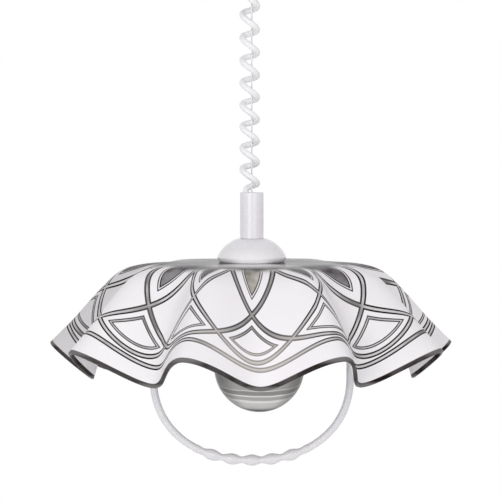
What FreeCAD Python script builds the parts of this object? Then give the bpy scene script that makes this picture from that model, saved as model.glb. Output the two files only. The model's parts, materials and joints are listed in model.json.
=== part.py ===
import FreeCAD, Part

import math
import os

# Rise and fall pendant: a draped, ruffled glass shade hangs by a wire rope that winds on a spring drum in the
# ceiling canopy, with a curly cord around the rope. Millimetres, +Z up. The origin is on the ceiling, in the
# middle of the cross bracket, and the lamp hangs below it. Angles about Z count from the front (-Y) to the
# right (+X).

V = FreeCAD.Vector
X_AXIS, Y_AXIS, Z_AXIS = V(1, 0, 0), V(0, 1, 0), V(0, 0, 1)

# ---- clearances -------------------------------------------------------------------------------------------
GAP = 0.3  # between seated pieces
RUN_GAP = 0.05  # radial, between a shaft and its bore
THREAD_GAP = 0.1  # radial, between a thread and its nut
OVER = 1.0  # how far a cutter reaches past what it cuts
SCREW_SHY = 0.5  # a screw stops this far short of the face it points at
SCREW_SLOT = 0.8  # width and depth of a small screw's slot

# ---- ceiling bracket and canopy ---------------------------------------------------------------------------
CEILING_HOLE_SPACING = 60.0
CEILING_HOLE_R = 2.6
BRACKET_WALL = 2.0
BRACKET_ARM_WIDTH = 20.0
EAR_DROP = 14.0
EAR_SCREW_DROP = 8.4
CANOPY_R = 55.0
CANOPY_HEIGHT = 90.0
CANOPY_SHOULDER_R = 40.0
CANOPY_WALL = 2.5
CANOPY_SCREW_R = 1.5
CANOPY_SCREW_HEAD_R = 2.8
CANOPY_SCREW_HEAD = 1.8
SCREW_TIP = 1.0  # shows inside the ear

# ---- rope, drum and mainspring ----------------------------------------------------------------------------
ROPE_R = 0.9
DRUM_ROPE_R = 19.0  # from the drum's axis to the middle of the rope
DRUM_FLANGE_R = 23.0
DRUM_FLANGE = 1.5
GROOVE_WIDTH = 7.0
WINDING_PITCH = 4.4
WINDING_GAP = 0.02
AXLE_R = 3.0
AXLE_END = 1.0
ARBOR_R = 4.0
SPRING_CUP_R = 18.8
SPRING_CUP_WALL = 1.8
SPRING_CUP_WIDTH = 12.0
SPRING_TURNS = 9
SPRING_STRIP = 0.45
SPRING_STEPS = 12  # points per turn
BARREL_COVER = 1.0
CLIP_R = 5.2
CLIP_WALL = 1.0
CLIP_MOUTH = 3.0

# ---- balancer frame and brake -----------------------------------------------------------------------------
FRAME_WALL = 1.5
FRAME_CLEARANCE = 1.5  # from the drum to each side wall
FRAME_SCREW_EDGE = 1.5
FRAME_WIDTH = 32.0
DRUM_HEADROOM = 4.5  # from the frame's top wall to the drum
BRIDGE_WALL = 2.0
FRAME_SCREW_R = 2.0
FRAME_SCREW_HEAD_R = 3.5
FRAME_SCREW_HEAD = 2.5
BRAKE_PAD = 2.2
BRAKE_PAD_WIDTH = 10.0
BRAKE_LEAF = 0.6
BRAKE_LEAF_WIDTH = 8.0
BRAKE_LEAF_TRAVEL = 2.9  # from the leaf to the bridge
BRAKE_TAB = 17.0  # the leaf's tab, riveted to the frame's front wall
BRAKE_SCREW_R = 3.0
BRAKE_HEAD_R = 3.9
BRAKE_HEAD = 5.0
BRAKE_SLOT = 1.0
BRAKE_SLOT_DEPTH = 1.4

# ---- outlet, curly cord and its straight ends -------------------------------------------------------------
OUTLET_BORE_R = 8.6
OUTLET_R = 10.3
OUTLET_FLANGE_R = 13.5
OUTLET_FLANGE = 3.2
OUTLET_THREAD = 7.0
OUTLET_NUT_FLATS = 26.0
OUTLET_NUT = 3.5
OUTLET_CHAMFER = 1.2
CORD_R = 3.2
UPPER_CORD_BEND = 18.0
UPPER_CORD_RISE = 30.0  # from the outlet to the first bend
UPPER_CORD_ENTRY = 16.0  # from the second bend to the cord grip
CORD_OFFSET = 4.6  # the cord passes beside the rope at the outlet
COIL_R = 11.0
COIL_BORE_R = 3.8
COIL_LENGTH = 208.0
TERMINAL_CLEARANCE = 3.2  # from the canopy screw's tip
TERMINAL_SIZE = (20.0, 18.0, 15.0)
TERMINAL_SCREW_R = 1.6
TERMINAL_SCREW = 4.0
TERMINAL_SCREW_INSET = 3.0
GRIP_SIZE = (16.0, 18.0, 8.0)
GRIP_SCREW_R = 1.4
GRIP_SCREW_INSET = 2.6
GRIP_SCREW_HEAD_R = 2.4
GRIP_SCREW_HEAD = 1.6

# ---- stem tube, rope anchor and nipple --------------------------------------------------------------------
TUBE_R = 12.4
TUBE_WALL = 1.4
TUBE_LENGTH = 48.0
TUBE_FLOOR = 1.5
TUBE_BUSH = 5.0
LOWER_CORD_OFFSET = 6.2
LOWER_CORD_LENGTH = 24.0
NIPPLE_R = 5.0
NIPPLE_BORE_R = 4.0
NIPPLE_ABOVE_FLOOR = 11.0
NUT_FLATS = 14.0
NUT_HEIGHT = 4.0
LOCK_WASHER = 0.6
WASHER_R = 8.4
WASHER_NOTCH = 1.0
WASHER_NOTCHES = 10
YOKE_BASE = 2.5
YOKE_BELOW = 1.0  # below the nipple's end
YOKE_R = 8.6
YOKE_LEG = 1.5
YOKE_LEG_WIDTH = 6.0
YOKE_HEIGHT = 15.0
FERRULE_R = 2.2
FERRULE_LENGTH = 7.0
FERRULE_END = 1.0  # its closed end
LEAD_R = 0.8
LEAD_SPREAD = 1.6
LEAD_OFFSET = 1.8
LEAD_BEND = 3.0
LEAD_ABOVE = 1.0  # the second bend, above the nipple

# ---- dome cap and glass clamp -----------------------------------------------------------------------------
DOME_R = 36.2
DOME_LIP_R = 33.6
DOME_LIP = 5.0
DOME_LIP_BULGE = 0.8  # the lip's curve passes this far inside the bell, at the height below
DOME_LIP_BULGE_Z = 2.0
DOME_HEIGHT = 24.6
DOME_BOSS_R = 15.0
DOME_SWELL = 1.8  # the bell's curve would go on to this much wider, below the lip
DOME_WALL = 1.4
DOME_CURVE_STEPS = 6
CLAMP_DISC_R = 27.5
CLAMP_DISC = 1.5
GASKET_INNER_R = 22.5
GASKET = 1.0
PLATE_R = 29.0
PLATE = 1.2

# ---- glass shade: a flat hub, and rings from there to the rim ---------------------------------------------
GLASS_WALL = 4.0
GLASS_HOLE_R = 21.0
GLASS_FLAT_R = 38.0
FLARE_RADII = (GLASS_FLAT_R, 62.0, 89.0, 114.0, 134.5, 148.5, 168.5, 190.5, 215.0)
FLARE_DROPS = (0.0, 0.0, 0.4, 2.4, 7.6, 17.0, 37.5, 62.0, 86.0)
LOBE_RADII = (GLASS_FLAT_R, 62.0, 87.0, 106.0, 121.0, 133.0, 146.0, 160.0, 172.0)
LOBE_DROPS = (0.0, 0.0, 1.0, 6.0, 19.0, 34.0, 52.5, 80.0, 119.0)
FLARE_ANGLES = (26, 66, 100, 143, 182, 222, 263, 300, 341)  # the outward folds, uneven as draped by hand
LOBE_ANGLES = (3, 41, 84, 122, 162, 202, 243, 281, 324)  # the hanging folds between them
POINTS_PER_HALF_FOLD = 4

# ---- handle -----------------------------------------------------------------------------------------------
HANDLE_ROD_R = 4.0
HANDLE_HALF_WIDTH = 103.5
HANDLE_WIDEST_DROP = 110.0  # from the arms at the hub
HANDLE_BOW_DEPTH = 88.0  # from the widest place to the grip
HANDLE_FULLNESS = 2.2  # the lower half is a superellipse with this exponent
HANDLE_STEPS = 7  # points in a quarter of it
HANDLE_SHOULDER_DROP = 42.0
HANDLE_SHOULDER_R = 38.0
HANDLE_HUB_R = 15.0
HANDLE_HUB = 8.0
ARM_SINK = 1.0  # how far an arm starts inside the hub
GRIP_HALF = 51.0
GRIP_BEADS = 5
GRIP_BEAD_R = 6.0
GRIP_BEAD_OVERLAP = 1.12
GRIP_NECK_R = 3.2

# ---- lampholder and lamp, on an axis that leans a little --------------------------------------------------
HOLDER_LEAN = 4.8  # degrees, to the right
HOLDER_TOP_R = 12.0
HOLDER_R = 20.0
HOLDER_WALL = 2.0
HOLDER_CAP = 11.5
HOLDER_SKIRT = 34.0
HOLDER_BORE_CLEARANCE = 0.7
HOLDER_NUT = 3.0
HOLDER_NUT_SEAT = 0.5  # the leaning cap's low side needs this
HOLDER_CONE = 6.0
INSERT = 3.6
SHELL_R = 14.2
SHELL_WALL = 0.5
SHELL_LENGTH = 24.0
CONTACT_SCREW_R = 1.5
CONTACT_SCREW = 4.5
CONTACT_SCREW_Y = 8.5
CONTACT_SCREW_ABOVE = 1.5
LAMP_CAP_R = 13.2
LAMP_CAP_WALL = 0.4
LAMP_CAP_LENGTH = 19.0
LAMP_CAP_TURNS = 5
LAMP_THREAD_DEPTH = 0.8
LAMP_INSULATOR = 4.0
INSULATOR_R = 11.2
INSULATOR_TOP_R = 4.2
LAMP_CONTACT_R = 3.2
LAMP_CONTACT = 1.0
GLOBE_R = 47.5
GLOBE_WALL = 1.2
GLOBE_NECK_R = 12.4
GLOBE_LENGTH = 104.5  # from the cap's lower end to the bottom of the globe
NECK_FLARE_R = 13.0
LAMP_STEM_R = 4.5
LAMP_STEM = 30.0
LAMP_FLANGE = 2.0

# ---- levels and places, from the ceiling down -------------------------------------------------------------
BRACKET_UNDERSIDE = -BRACKET_WALL
CANOPY_BOTTOM = -CANOPY_HEIGHT
CANOPY_SHOULDER_Z = CANOPY_BOTTOM + CANOPY_SHOULDER_R
CANOPY_INNER_R = CANOPY_R - CANOPY_WALL
EAR_X = math.sqrt((CANOPY_INNER_R - GAP) ** 2 - (BRACKET_ARM_WIDTH / 2) ** 2)
EAR_SCREW_Z = -EAR_SCREW_DROP
TERMINAL_X = EAR_X - BRACKET_WALL - SCREW_TIP - TERMINAL_CLEARANCE - TERMINAL_SIZE[0] / 2
DRUM_X = DRUM_ROPE_R
DRUM_Z = BRACKET_UNDERSIDE - FRAME_WALL - DRUM_HEADROOM - DRUM_FLANGE_R
GROOVE_R = DRUM_ROPE_R - ROPE_R - GAP
DRUM_FRONT = -GROOVE_WIDTH / 2 - DRUM_FLANGE
CUP_START = GROOVE_WIDTH / 2 + DRUM_FLANGE
CUP_END = CUP_START + SPRING_CUP_WIDTH
DRUM_BACK = CUP_END + BARREL_COVER
FRAME_FRONT = DRUM_FRONT - FRAME_CLEARANCE - FRAME_WALL
FRAME_BACK = DRUM_BACK + FRAME_CLEARANCE + FRAME_WALL
FRAME_TOP = BRACKET_UNDERSIDE
BRAKE_PAD_TOP = DRUM_Z - DRUM_FLANGE_R - GAP
BRAKE_LEAF_TOP = BRAKE_PAD_TOP - BRAKE_PAD
BRAKE_TAB_TOP = BRAKE_LEAF_TOP + BRAKE_TAB
FRAME_BOTTOM = BRAKE_LEAF_TOP - BRAKE_LEAF - BRAKE_LEAF_TRAVEL - BRIDGE_WALL
FRAME_SCREWS = tuple((DRUM_X + side * (FRAME_WIDTH / 2 - FRAME_SCREW_HEAD_R - FRAME_SCREW_EDGE),
                      BRACKET_ARM_WIDTH / 2 - FRAME_SCREW_R - FRAME_SCREW_EDGE) for side in (-1, 1))
TERMINAL_BOTTOM = BRACKET_UNDERSIDE - GAP - TERMINAL_SIZE[2]
GRIP_TOP = TERMINAL_BOTTOM - GAP
GRIP_BOTTOM = GRIP_TOP - GRIP_SIZE[2]
OUTLET_BOTTOM = CANOPY_BOTTOM - GAP - OUTLET_FLANGE
COIL_TOP = OUTLET_BOTTOM - GAP
COIL_BOTTOM = COIL_TOP - COIL_LENGTH
TUBE_TOP = COIL_BOTTOM - GAP
TUBE_BOTTOM = TUBE_TOP - TUBE_LENGTH
TUBE_FLOOR_TOP = TUBE_BOTTOM + TUBE_FLOOR
TUBE_BORE_R = TUBE_R - TUBE_WALL
STEM_NUT_TOP = TUBE_FLOOR_TOP + GAP + LOCK_WASHER + NUT_HEIGHT
NIPPLE_TOP = TUBE_FLOOR_TOP + NIPPLE_ABOVE_FLOOR
YOKE_BOTTOM = NIPPLE_TOP - YOKE_BASE - YOKE_BELOW
YOKE_TOP = YOKE_BOTTOM + YOKE_HEIGHT
FERRULE_TOP = YOKE_TOP - YOKE_LEG - GAP
LOWER_CORD_END = TUBE_TOP - LOWER_CORD_LENGTH
DOME_TOP = TUBE_BOTTOM - GAP
DOME_BOTTOM = DOME_TOP - DOME_HEIGHT
GLASS_TOP = DOME_BOTTOM - GAP
GLASS_UNDERSIDE = GLASS_TOP - GLASS_WALL
TOP_GASKET_TOP = GLASS_TOP + GAP + GASKET
CLAMP_DISC_TOP = TOP_GASKET_TOP + CLAMP_DISC
BOTTOM_GASKET_BOTTOM = GLASS_UNDERSIDE - GAP - GASKET
PLATE_BOTTOM = BOTTOM_GASKET_BOTTOM - PLATE
HANDLE_HUB_TOP = PLATE_BOTTOM - GAP
HANDLE_HUB_BOTTOM = HANDLE_HUB_TOP - HANDLE_HUB
HANDLE_ARM_Z = HANDLE_HUB_BOTTOM + HANDLE_ROD_R
HANDLE_WIDEST_Z = HANDLE_ARM_Z - HANDLE_WIDEST_DROP
HOLDER_TOP = HANDLE_HUB_BOTTOM - GAP - HOLDER_TOP_R * math.sin(math.radians(HOLDER_LEAN))
HOLDER_NUT_TOP = HOLDER_TOP - HOLDER_WALL - GAP - HOLDER_NUT_SEAT
NIPPLE_BOTTOM = HOLDER_NUT_TOP - HOLDER_NUT
HOLDER_CAP_BOTTOM = HOLDER_TOP - HOLDER_CAP
INSERT_TOP = HOLDER_CAP_BOTTOM + INSERT / 2
INSERT_BOTTOM = INSERT_TOP - INSERT
SKIRT_TOP = HOLDER_CAP_BOTTOM - GAP
LAMP_TOP = INSERT_BOTTOM - GAP
LAMP_CAP_TOP = LAMP_TOP - LAMP_CONTACT - LAMP_INSULATOR
LAMP_CAP_BOTTOM = LAMP_CAP_TOP - LAMP_CAP_LENGTH
GLOBE_BOTTOM = LAMP_CAP_BOTTOM - GLOBE_LENGTH
GLOBE_Z = GLOBE_BOTTOM + GLOBE_R


# ---- building blocks --------------------------------------------------------------------------------------
def box(x, y, z):
    """A box between three pairs of coordinates."""
    return Part.makeBox(x[1] - x[0], y[1] - y[0], z[1] - z[0], V(x[0], y[0], z[0]))


def rod(radius, low, high, x=0.0, y=0.0):
    return Part.makeCylinder(radius, high - low, V(x, y, low), Z_AXIS)


def tube(outer, inner, low, high, x=0.0, y=0.0):
    return rod(outer, low, high, x, y).cut(rod(inner, low - OVER, high + OVER, x, y))


def cross_rod(radius, front, back):
    """A cylinder along Y on the drum's axis."""
    return Part.makeCylinder(radius, back - front, V(DRUM_X, front, DRUM_Z), Y_AXIS)


def cross_tube(outer, inner, front, back):
    return cross_rod(outer, front, back).cut(cross_rod(inner, front - OVER, back + OVER))


def hex_nut(flats, bore, low, high):
    corner = flats / math.sqrt(3)
    points = [V(corner * math.cos(math.radians(a)), corner * math.sin(math.radians(a)), low)
              for a in range(0, 361, 60)]
    prism = Part.Face(Part.makePolygon(points)).extrude(V(0, 0, high - low))
    return prism.cut(rod(bore, low - OVER, high + OVER))


def path_edges(points_list):
    """Edges in the XZ plane: two points make a line, three an arc through the middle one."""
    edges = []
    for points in points_list:
        points = [V(r, 0, z) for r, z in points]
        edges.append(Part.LineSegment(*points).toShape() if len(points) == 2 else Part.Arc(*points).toShape())
    return edges


def lathe(points_list):
    """A solid turned about Z from a closed outline."""
    return Part.Face(Part.Wire(path_edges(points_list))).revolve(V(0, 0, 0), Z_AXIS, 360)


def outline(points):
    """A closed run of straight lines through the points."""
    return [(a, b) for a, b in zip(points, points[1:] + points[:1])]


def rounded_path(points, radius):
    """Straight runs through the points, joined by tangent arcs of one radius."""
    edges, start = [], points[0]
    for corner, after in zip(points[1:-1], points[2:]):
        into, out = (corner - start).normalize(), (after - corner).normalize()
        turn = into.getAngle(out)
        back = radius * math.tan(turn / 2)
        first, last = corner - into * back, corner + out * back
        middle = corner + (out - into).normalize() * radius * (1 / math.cos(turn / 2) - 1)
        edges += [Part.LineSegment(start, first).toShape(), Part.Arc(first, middle, last).toShape()]
        start = last
    return Part.Wire(edges + [Part.LineSegment(start, points[-1]).toShape()])


def swept(wire, radius):
    """A round bar along a path."""
    start = wire.Edges[0]
    ring = Part.Wire(Part.Circle(start.valueAt(start.FirstParameter), start.tangentAt(start.FirstParameter),
                                 radius).toShape())
    return wire.makePipeShell([ring], True, False)


def screw_down(x, y, top, radius, length, head_r, head):
    """A slotted screw that points up, with its head below."""
    seat, low = top - length, top - length - head
    half = SCREW_SLOT / 2
    slot = box((x - head_r, x + head_r), (y - half, y + half), (low - OVER, low + SCREW_SLOT))
    return rod(radius, seat, top, x, y).fuse(rod(head_r, low, seat, x, y)).cut(slot)


def leaning(shape):
    """The lampholder's axis leans about its top."""
    shape.rotate(V(0, 0, HOLDER_TOP), Y_AXIS, -HOLDER_LEAN)
    return shape


# ---- ceiling ----------------------------------------------------------------------------------------------
def ceiling_bracket():
    half = BRACKET_ARM_WIDTH / 2
    arm_x = box((-EAR_X, EAR_X), (-half, half), (-BRACKET_WALL, 0))
    hole_y = CEILING_HOLE_SPACING / 2
    reach = hole_y + half
    arm_y = box((-half, half), (-reach, reach), (-BRACKET_WALL, 0))
    bracket = arm_x.fuse(arm_y)
    for side in (-1, 1):
        inner, outer = sorted((side * (EAR_X - BRACKET_WALL), side * EAR_X))
        bracket = bracket.fuse(box((inner, outer), (-half, half), (-EAR_DROP, 0)))
        bracket = bracket.cut(rod(CEILING_HOLE_R, -BRACKET_WALL - OVER, OVER, 0, side * hole_y))
    for x, y in FRAME_SCREWS:
        bracket = bracket.cut(rod(FRAME_SCREW_R + THREAD_GAP, -BRACKET_WALL - OVER, OVER, x, y))
    bore = Part.makeCylinder(CANOPY_SCREW_R + THREAD_GAP, 2 * CANOPY_R, V(-CANOPY_R, 0, EAR_SCREW_Z), X_AXIS)
    return bracket.cut(bore).removeSplitter()


def canopy_cover():
    r, z, wall = CANOPY_SHOULDER_R, CANOPY_SHOULDER_Z, CANOPY_WALL
    centre = CANOPY_R - r
    hole = OUTLET_R + GAP
    diagonal = math.cos(math.radians(45))
    outer_mid = (centre + r * diagonal, z - r * diagonal)
    inner_mid = (centre + (r - wall) * diagonal, z - (r - wall) * diagonal)
    cover = lathe([
        ((CANOPY_R, 0), (CANOPY_R, z)),
        ((CANOPY_R, z), outer_mid, (centre, CANOPY_BOTTOM)),
        ((centre, CANOPY_BOTTOM), (hole, CANOPY_BOTTOM)),
        ((hole, CANOPY_BOTTOM), (hole, CANOPY_BOTTOM + wall)),
        ((hole, CANOPY_BOTTOM + wall), (centre, CANOPY_BOTTOM + wall)),
        ((centre, CANOPY_BOTTOM + wall), inner_mid, (CANOPY_INNER_R, z)),
        ((CANOPY_INNER_R, z), (CANOPY_INNER_R, 0)),
        ((CANOPY_INNER_R, 0), (CANOPY_R, 0)),
    ])
    cover = cover.cut(rod(BRAKE_HEAD_R + GAP, CANOPY_BOTTOM - OVER, CANOPY_BOTTOM + wall + OVER, DRUM_X, 0))
    reach = CANOPY_R + OVER
    bore = Part.makeCylinder(CANOPY_SCREW_R + THREAD_GAP, 2 * reach, V(-reach, 0, EAR_SCREW_Z), X_AXIS)
    return cover.cut(bore)


def canopy_screws():
    tip, seat = EAR_X - BRACKET_WALL - SCREW_TIP, CANOPY_R + GAP
    end, z = seat + CANOPY_SCREW_HEAD, EAR_SCREW_Z
    screws = []
    for side in (-1, 1):
        along = X_AXIS * side
        shank = Part.makeCylinder(CANOPY_SCREW_R, seat - tip, V(side * tip, 0, z), along)
        head = Part.makeCylinder(CANOPY_SCREW_HEAD_R, CANOPY_SCREW_HEAD, V(side * seat, 0, z), along)
        slot_x = sorted((side * (end - SCREW_SLOT), side * (end + OVER)))
        slot = box(slot_x, (-CANOPY_SCREW_HEAD_R, CANOPY_SCREW_HEAD_R),
                   (z - SCREW_SLOT / 2, z + SCREW_SLOT / 2))
        screws.append(shank.fuse(head).cut(slot))
    return Part.makeCompound(screws)


def balancer_frame():
    x = (DRUM_X - FRAME_WIDTH / 2, DRUM_X + FRAME_WIDTH / 2)
    y = (FRAME_FRONT, FRAME_BACK)
    frame = box(x, y, (FRAME_TOP - FRAME_WALL, FRAME_TOP))
    frame = frame.fuse(box(x, (FRAME_FRONT, FRAME_FRONT + FRAME_WALL), (FRAME_BOTTOM, FRAME_TOP)))
    frame = frame.fuse(box(x, (FRAME_BACK - FRAME_WALL, FRAME_BACK), (FRAME_BOTTOM, FRAME_TOP)))
    frame = frame.fuse(box(x, y, (FRAME_BOTTOM, FRAME_BOTTOM + BRIDGE_WALL)))
    frame = frame.cut(cross_rod(AXLE_R + RUN_GAP, FRAME_FRONT - OVER, FRAME_BACK + OVER))
    frame = frame.cut(rod(BRAKE_SCREW_R + RUN_GAP, FRAME_BOTTOM - OVER, FRAME_BOTTOM + BRIDGE_WALL + OVER,
                          DRUM_X))
    for hole_x, hole_y in FRAME_SCREWS:
        frame = frame.cut(rod(FRAME_SCREW_R + THREAD_GAP, FRAME_TOP - FRAME_WALL - OVER, FRAME_TOP + OVER,
                              hole_x, hole_y))
    return frame.removeSplitter()


def frame_screws():
    length = FRAME_WALL + GAP + BRACKET_WALL - SCREW_SHY
    top = FRAME_TOP - FRAME_WALL - GAP + length
    head = (FRAME_SCREW_HEAD_R, FRAME_SCREW_HEAD)
    return Part.makeCompound([screw_down(x, y, top, FRAME_SCREW_R, length, *head) for x, y in FRAME_SCREWS])


def drum_axle():
    front, back = FRAME_FRONT - GAP - CLIP_WALL - AXLE_END, FRAME_BACK + GAP + CLIP_WALL + AXLE_END
    axle = cross_rod(AXLE_R, front, back)
    arbor = cross_rod(ARBOR_R, CUP_START + GAP, FRAME_BACK - FRAME_WALL - GAP)
    slot = box((DRUM_X - AXLE_R, DRUM_X + AXLE_R), (back - AXLE_END, back + OVER),
               (DRUM_Z - SCREW_SLOT / 2, DRUM_Z + SCREW_SLOT / 2))
    return axle.fuse(arbor).cut(slot)


def axle_clips():
    front = cross_tube(CLIP_R, AXLE_R + RUN_GAP, FRAME_FRONT - GAP - CLIP_WALL, FRAME_FRONT - GAP)
    back = cross_tube(CLIP_R, AXLE_R + RUN_GAP, FRAME_BACK + GAP, FRAME_BACK + GAP + CLIP_WALL)
    half, reach = CLIP_MOUTH / 2, GAP + CLIP_WALL + OVER
    mouth = box((DRUM_X - half, DRUM_X + half), (FRAME_FRONT - reach, FRAME_BACK + reach),
                (DRUM_Z - CLIP_R - OVER, DRUM_Z))
    return Part.makeCompound([front.cut(mouth), back.cut(mouth)])


def mainspring():
    """A flat spiral strip, from the arbor to the wall of the spring cup."""
    inner_r = ARBOR_R + GAP + SPRING_STRIP / 2
    outer_r = SPRING_CUP_R - SPRING_CUP_WALL - GAP - SPRING_STRIP / 2
    steps = SPRING_TURNS * SPRING_STEPS

    def spiral(offset):
        points = []
        for i in range(steps + 1):
            angle = 2 * math.pi * SPRING_TURNS * i / steps
            radius = inner_r + (outer_r - inner_r) * i / steps + offset
            points.append(V(DRUM_X + radius * math.cos(angle), CUP_START + 2 * GAP,
                            DRUM_Z + radius * math.sin(angle)))
        curve = Part.BSplineCurve()
        curve.interpolate(points)
        return curve.toShape(), points[0], points[-1]

    inner, inner_start, inner_end = spiral(-SPRING_STRIP / 2)
    outer, outer_start, outer_end = spiral(SPRING_STRIP / 2)
    ends = [Part.makeLine(inner_start, outer_start), Part.makeLine(inner_end, outer_end)]
    wire = Part.Wire(Part.__sortEdges__([inner, outer] + ends))
    return Part.Face(wire).extrude(V(0, SPRING_CUP_WIDTH - 4 * GAP, 0))


def terminal_block():
    dx, dy, dz = TERMINAL_SIZE
    top = BRACKET_UNDERSIDE - GAP
    block = box((-TERMINAL_X - dx / 2, -TERMINAL_X + dx / 2), (-dy / 2, dy / 2), (top - dz, top))
    for x, y in terminal_screw_places():
        block = block.cut(rod(TERMINAL_SCREW_R + GAP, top - dz - OVER, top - dz / 2, x, y))
    return block


def terminal_screw_places():
    x, y = TERMINAL_SIZE[0] / 2 - TERMINAL_SCREW_INSET, TERMINAL_SIZE[1] / 2 - TERMINAL_SCREW_INSET
    return [(-TERMINAL_X + side_x * x, side_y * y) for side_x in (-1, 1) for side_y in (-1, 1)]


def terminal_screws():
    top = BRACKET_UNDERSIDE - GAP - TERMINAL_SIZE[2] / 2 - GAP
    return Part.makeCompound([rod(TERMINAL_SCREW_R, top - TERMINAL_SCREW, top, x, y)
                              for x, y in terminal_screw_places()])


def supply_cord_upper():
    """The straight end of the cord, from the outlet to the terminal block."""
    points = [V(-CORD_OFFSET, 0, OUTLET_BOTTOM), V(-CORD_OFFSET, 0, OUTLET_BOTTOM + UPPER_CORD_RISE),
              V(-TERMINAL_X, 0, GRIP_BOTTOM - UPPER_CORD_ENTRY), V(-TERMINAL_X, 0, GRIP_TOP)]
    return swept(rounded_path(points, UPPER_CORD_BEND), CORD_R)


def cord_grip():
    dx, dy = GRIP_SIZE[0], GRIP_SIZE[1]
    grip = box((-TERMINAL_X - dx / 2, -TERMINAL_X + dx / 2), (-dy / 2, dy / 2), (GRIP_BOTTOM, GRIP_TOP))
    grip = grip.cut(rod(CORD_R + RUN_GAP, GRIP_BOTTOM - OVER, GRIP_TOP + OVER, -TERMINAL_X))
    for side in (-1, 1):
        grip = grip.cut(rod(GRIP_SCREW_R + THREAD_GAP, GRIP_BOTTOM - OVER, GRIP_TOP + OVER, -TERMINAL_X,
                            side * (dy / 2 - GRIP_SCREW_INSET)))
    return grip


def grip_screws():
    length = GRIP_SIZE[2] + GAP - SCREW_SHY
    y = GRIP_SIZE[1] / 2 - GRIP_SCREW_INSET
    return Part.makeCompound([screw_down(-TERMINAL_X, side * y, GRIP_TOP - SCREW_SHY, GRIP_SCREW_R, length,
                                         GRIP_SCREW_HEAD_R, GRIP_SCREW_HEAD) for side in (-1, 1)])


def outlet_bush():
    top = CANOPY_BOTTOM + OUTLET_THREAD
    return lathe(outline([(OUTLET_BORE_R, OUTLET_BOTTOM), (OUTLET_FLANGE_R - OUTLET_CHAMFER, OUTLET_BOTTOM),
                          (OUTLET_FLANGE_R, OUTLET_BOTTOM + OUTLET_CHAMFER),
                          (OUTLET_FLANGE_R, CANOPY_BOTTOM - GAP), (OUTLET_R, CANOPY_BOTTOM - GAP),
                          (OUTLET_R, top), (OUTLET_BORE_R, top)]))


def outlet_nut():
    low = CANOPY_BOTTOM + CANOPY_WALL + GAP
    return hex_nut(OUTLET_NUT_FLATS, OUTLET_R + THREAD_GAP, low, low + OUTLET_NUT)


def brake_leaf():
    half = BRAKE_LEAF_WIDTH / 2
    x = (DRUM_X - half, DRUM_X + half)
    inside = FRAME_FRONT + FRAME_WALL
    leaf = box(x, (inside, CUP_END), (BRAKE_LEAF_TOP - BRAKE_LEAF, BRAKE_LEAF_TOP))
    return leaf.fuse(box(x, (inside, inside + BRAKE_LEAF), (BRAKE_LEAF_TOP - BRAKE_LEAF, BRAKE_TAB_TOP)))


def brake_pad():
    half = BRAKE_PAD_WIDTH / 2
    pad = box((DRUM_X - half, DRUM_X + half), (DRUM_FRONT, CUP_START), (BRAKE_LEAF_TOP, BRAKE_PAD_TOP + OVER))
    return pad.cut(cross_rod(DRUM_FLANGE_R + GAP, DRUM_FRONT - OVER, CUP_START + OVER))


# ---- drum and brake screw ---------------------------------------------------------------------------------
def rope_drum():
    drum = cross_rod(GROOVE_R, DRUM_FRONT, CUP_START)
    drum = drum.fuse(cross_rod(DRUM_FLANGE_R, DRUM_FRONT, DRUM_FRONT + DRUM_FLANGE))
    drum = drum.fuse(cross_rod(DRUM_FLANGE_R, CUP_START - DRUM_FLANGE, CUP_START))
    drum = drum.cut(cross_rod(AXLE_R + RUN_GAP, DRUM_FRONT - OVER, CUP_START + OVER))
    cup = cross_tube(SPRING_CUP_R, SPRING_CUP_R - SPRING_CUP_WALL, CUP_START, CUP_END)
    return drum.fuse(cup).removeSplitter()


def barrel_cover():
    return cross_tube(SPRING_CUP_R, ARBOR_R + GAP, CUP_END, DRUM_BACK)


def rope_winding():
    ring_r = GROOVE_R + ROPE_R + WINDING_GAP
    half = WINDING_PITCH / 2
    return Part.makeCompound([Part.makeTorus(ring_r, ROPE_R, V(DRUM_X, y, DRUM_Z), Y_AXIS)
                              for y in (-half, half)])


def brake_screw():
    top = BRAKE_LEAF_TOP - BRAKE_LEAF - GAP
    head_bottom = CANOPY_BOTTOM - BRAKE_HEAD / 2
    screw = rod(BRAKE_SCREW_R, head_bottom + BRAKE_HEAD, top, DRUM_X).fuse(
        rod(BRAKE_HEAD_R, head_bottom, head_bottom + BRAKE_HEAD, DRUM_X))
    slot = box((DRUM_X - BRAKE_HEAD_R, DRUM_X + BRAKE_HEAD_R), (-BRAKE_SLOT / 2, BRAKE_SLOT / 2),
               (head_bottom - OVER, head_bottom + BRAKE_SLOT_DEPTH))
    return screw.cut(slot)


# ---- rope and curly cord ----------------------------------------------------------------------------------
def suspension_rope():
    return rod(ROPE_R, FERRULE_TOP, DRUM_Z)


def curly_cord():
    return tube(COIL_R, COIL_BORE_R, COIL_BOTTOM, COIL_TOP)


# ---- stem, rope anchor and leads --------------------------------------------------------------------------
def stem_tube():
    shell = tube(TUBE_R, TUBE_BORE_R, TUBE_BOTTOM, TUBE_TOP)
    floor = tube(TUBE_R - TUBE_WALL / 2, NIPPLE_R + GAP, TUBE_BOTTOM, TUBE_FLOOR_TOP)
    return shell.fuse(floor).removeSplitter()


def tube_bush():
    bush = rod(TUBE_BORE_R - GAP, TUBE_TOP - TUBE_BUSH, TUBE_TOP)
    bush = bush.cut(rod(ROPE_R + GAP, TUBE_TOP - TUBE_BUSH - OVER, TUBE_TOP + OVER))
    return bush.cut(rod(CORD_R + RUN_GAP, TUBE_TOP - TUBE_BUSH - OVER, TUBE_TOP + OVER, -LOWER_CORD_OFFSET))


def supply_cord_lower():
    return rod(CORD_R, LOWER_CORD_END, TUBE_TOP, -LOWER_CORD_OFFSET)


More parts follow.
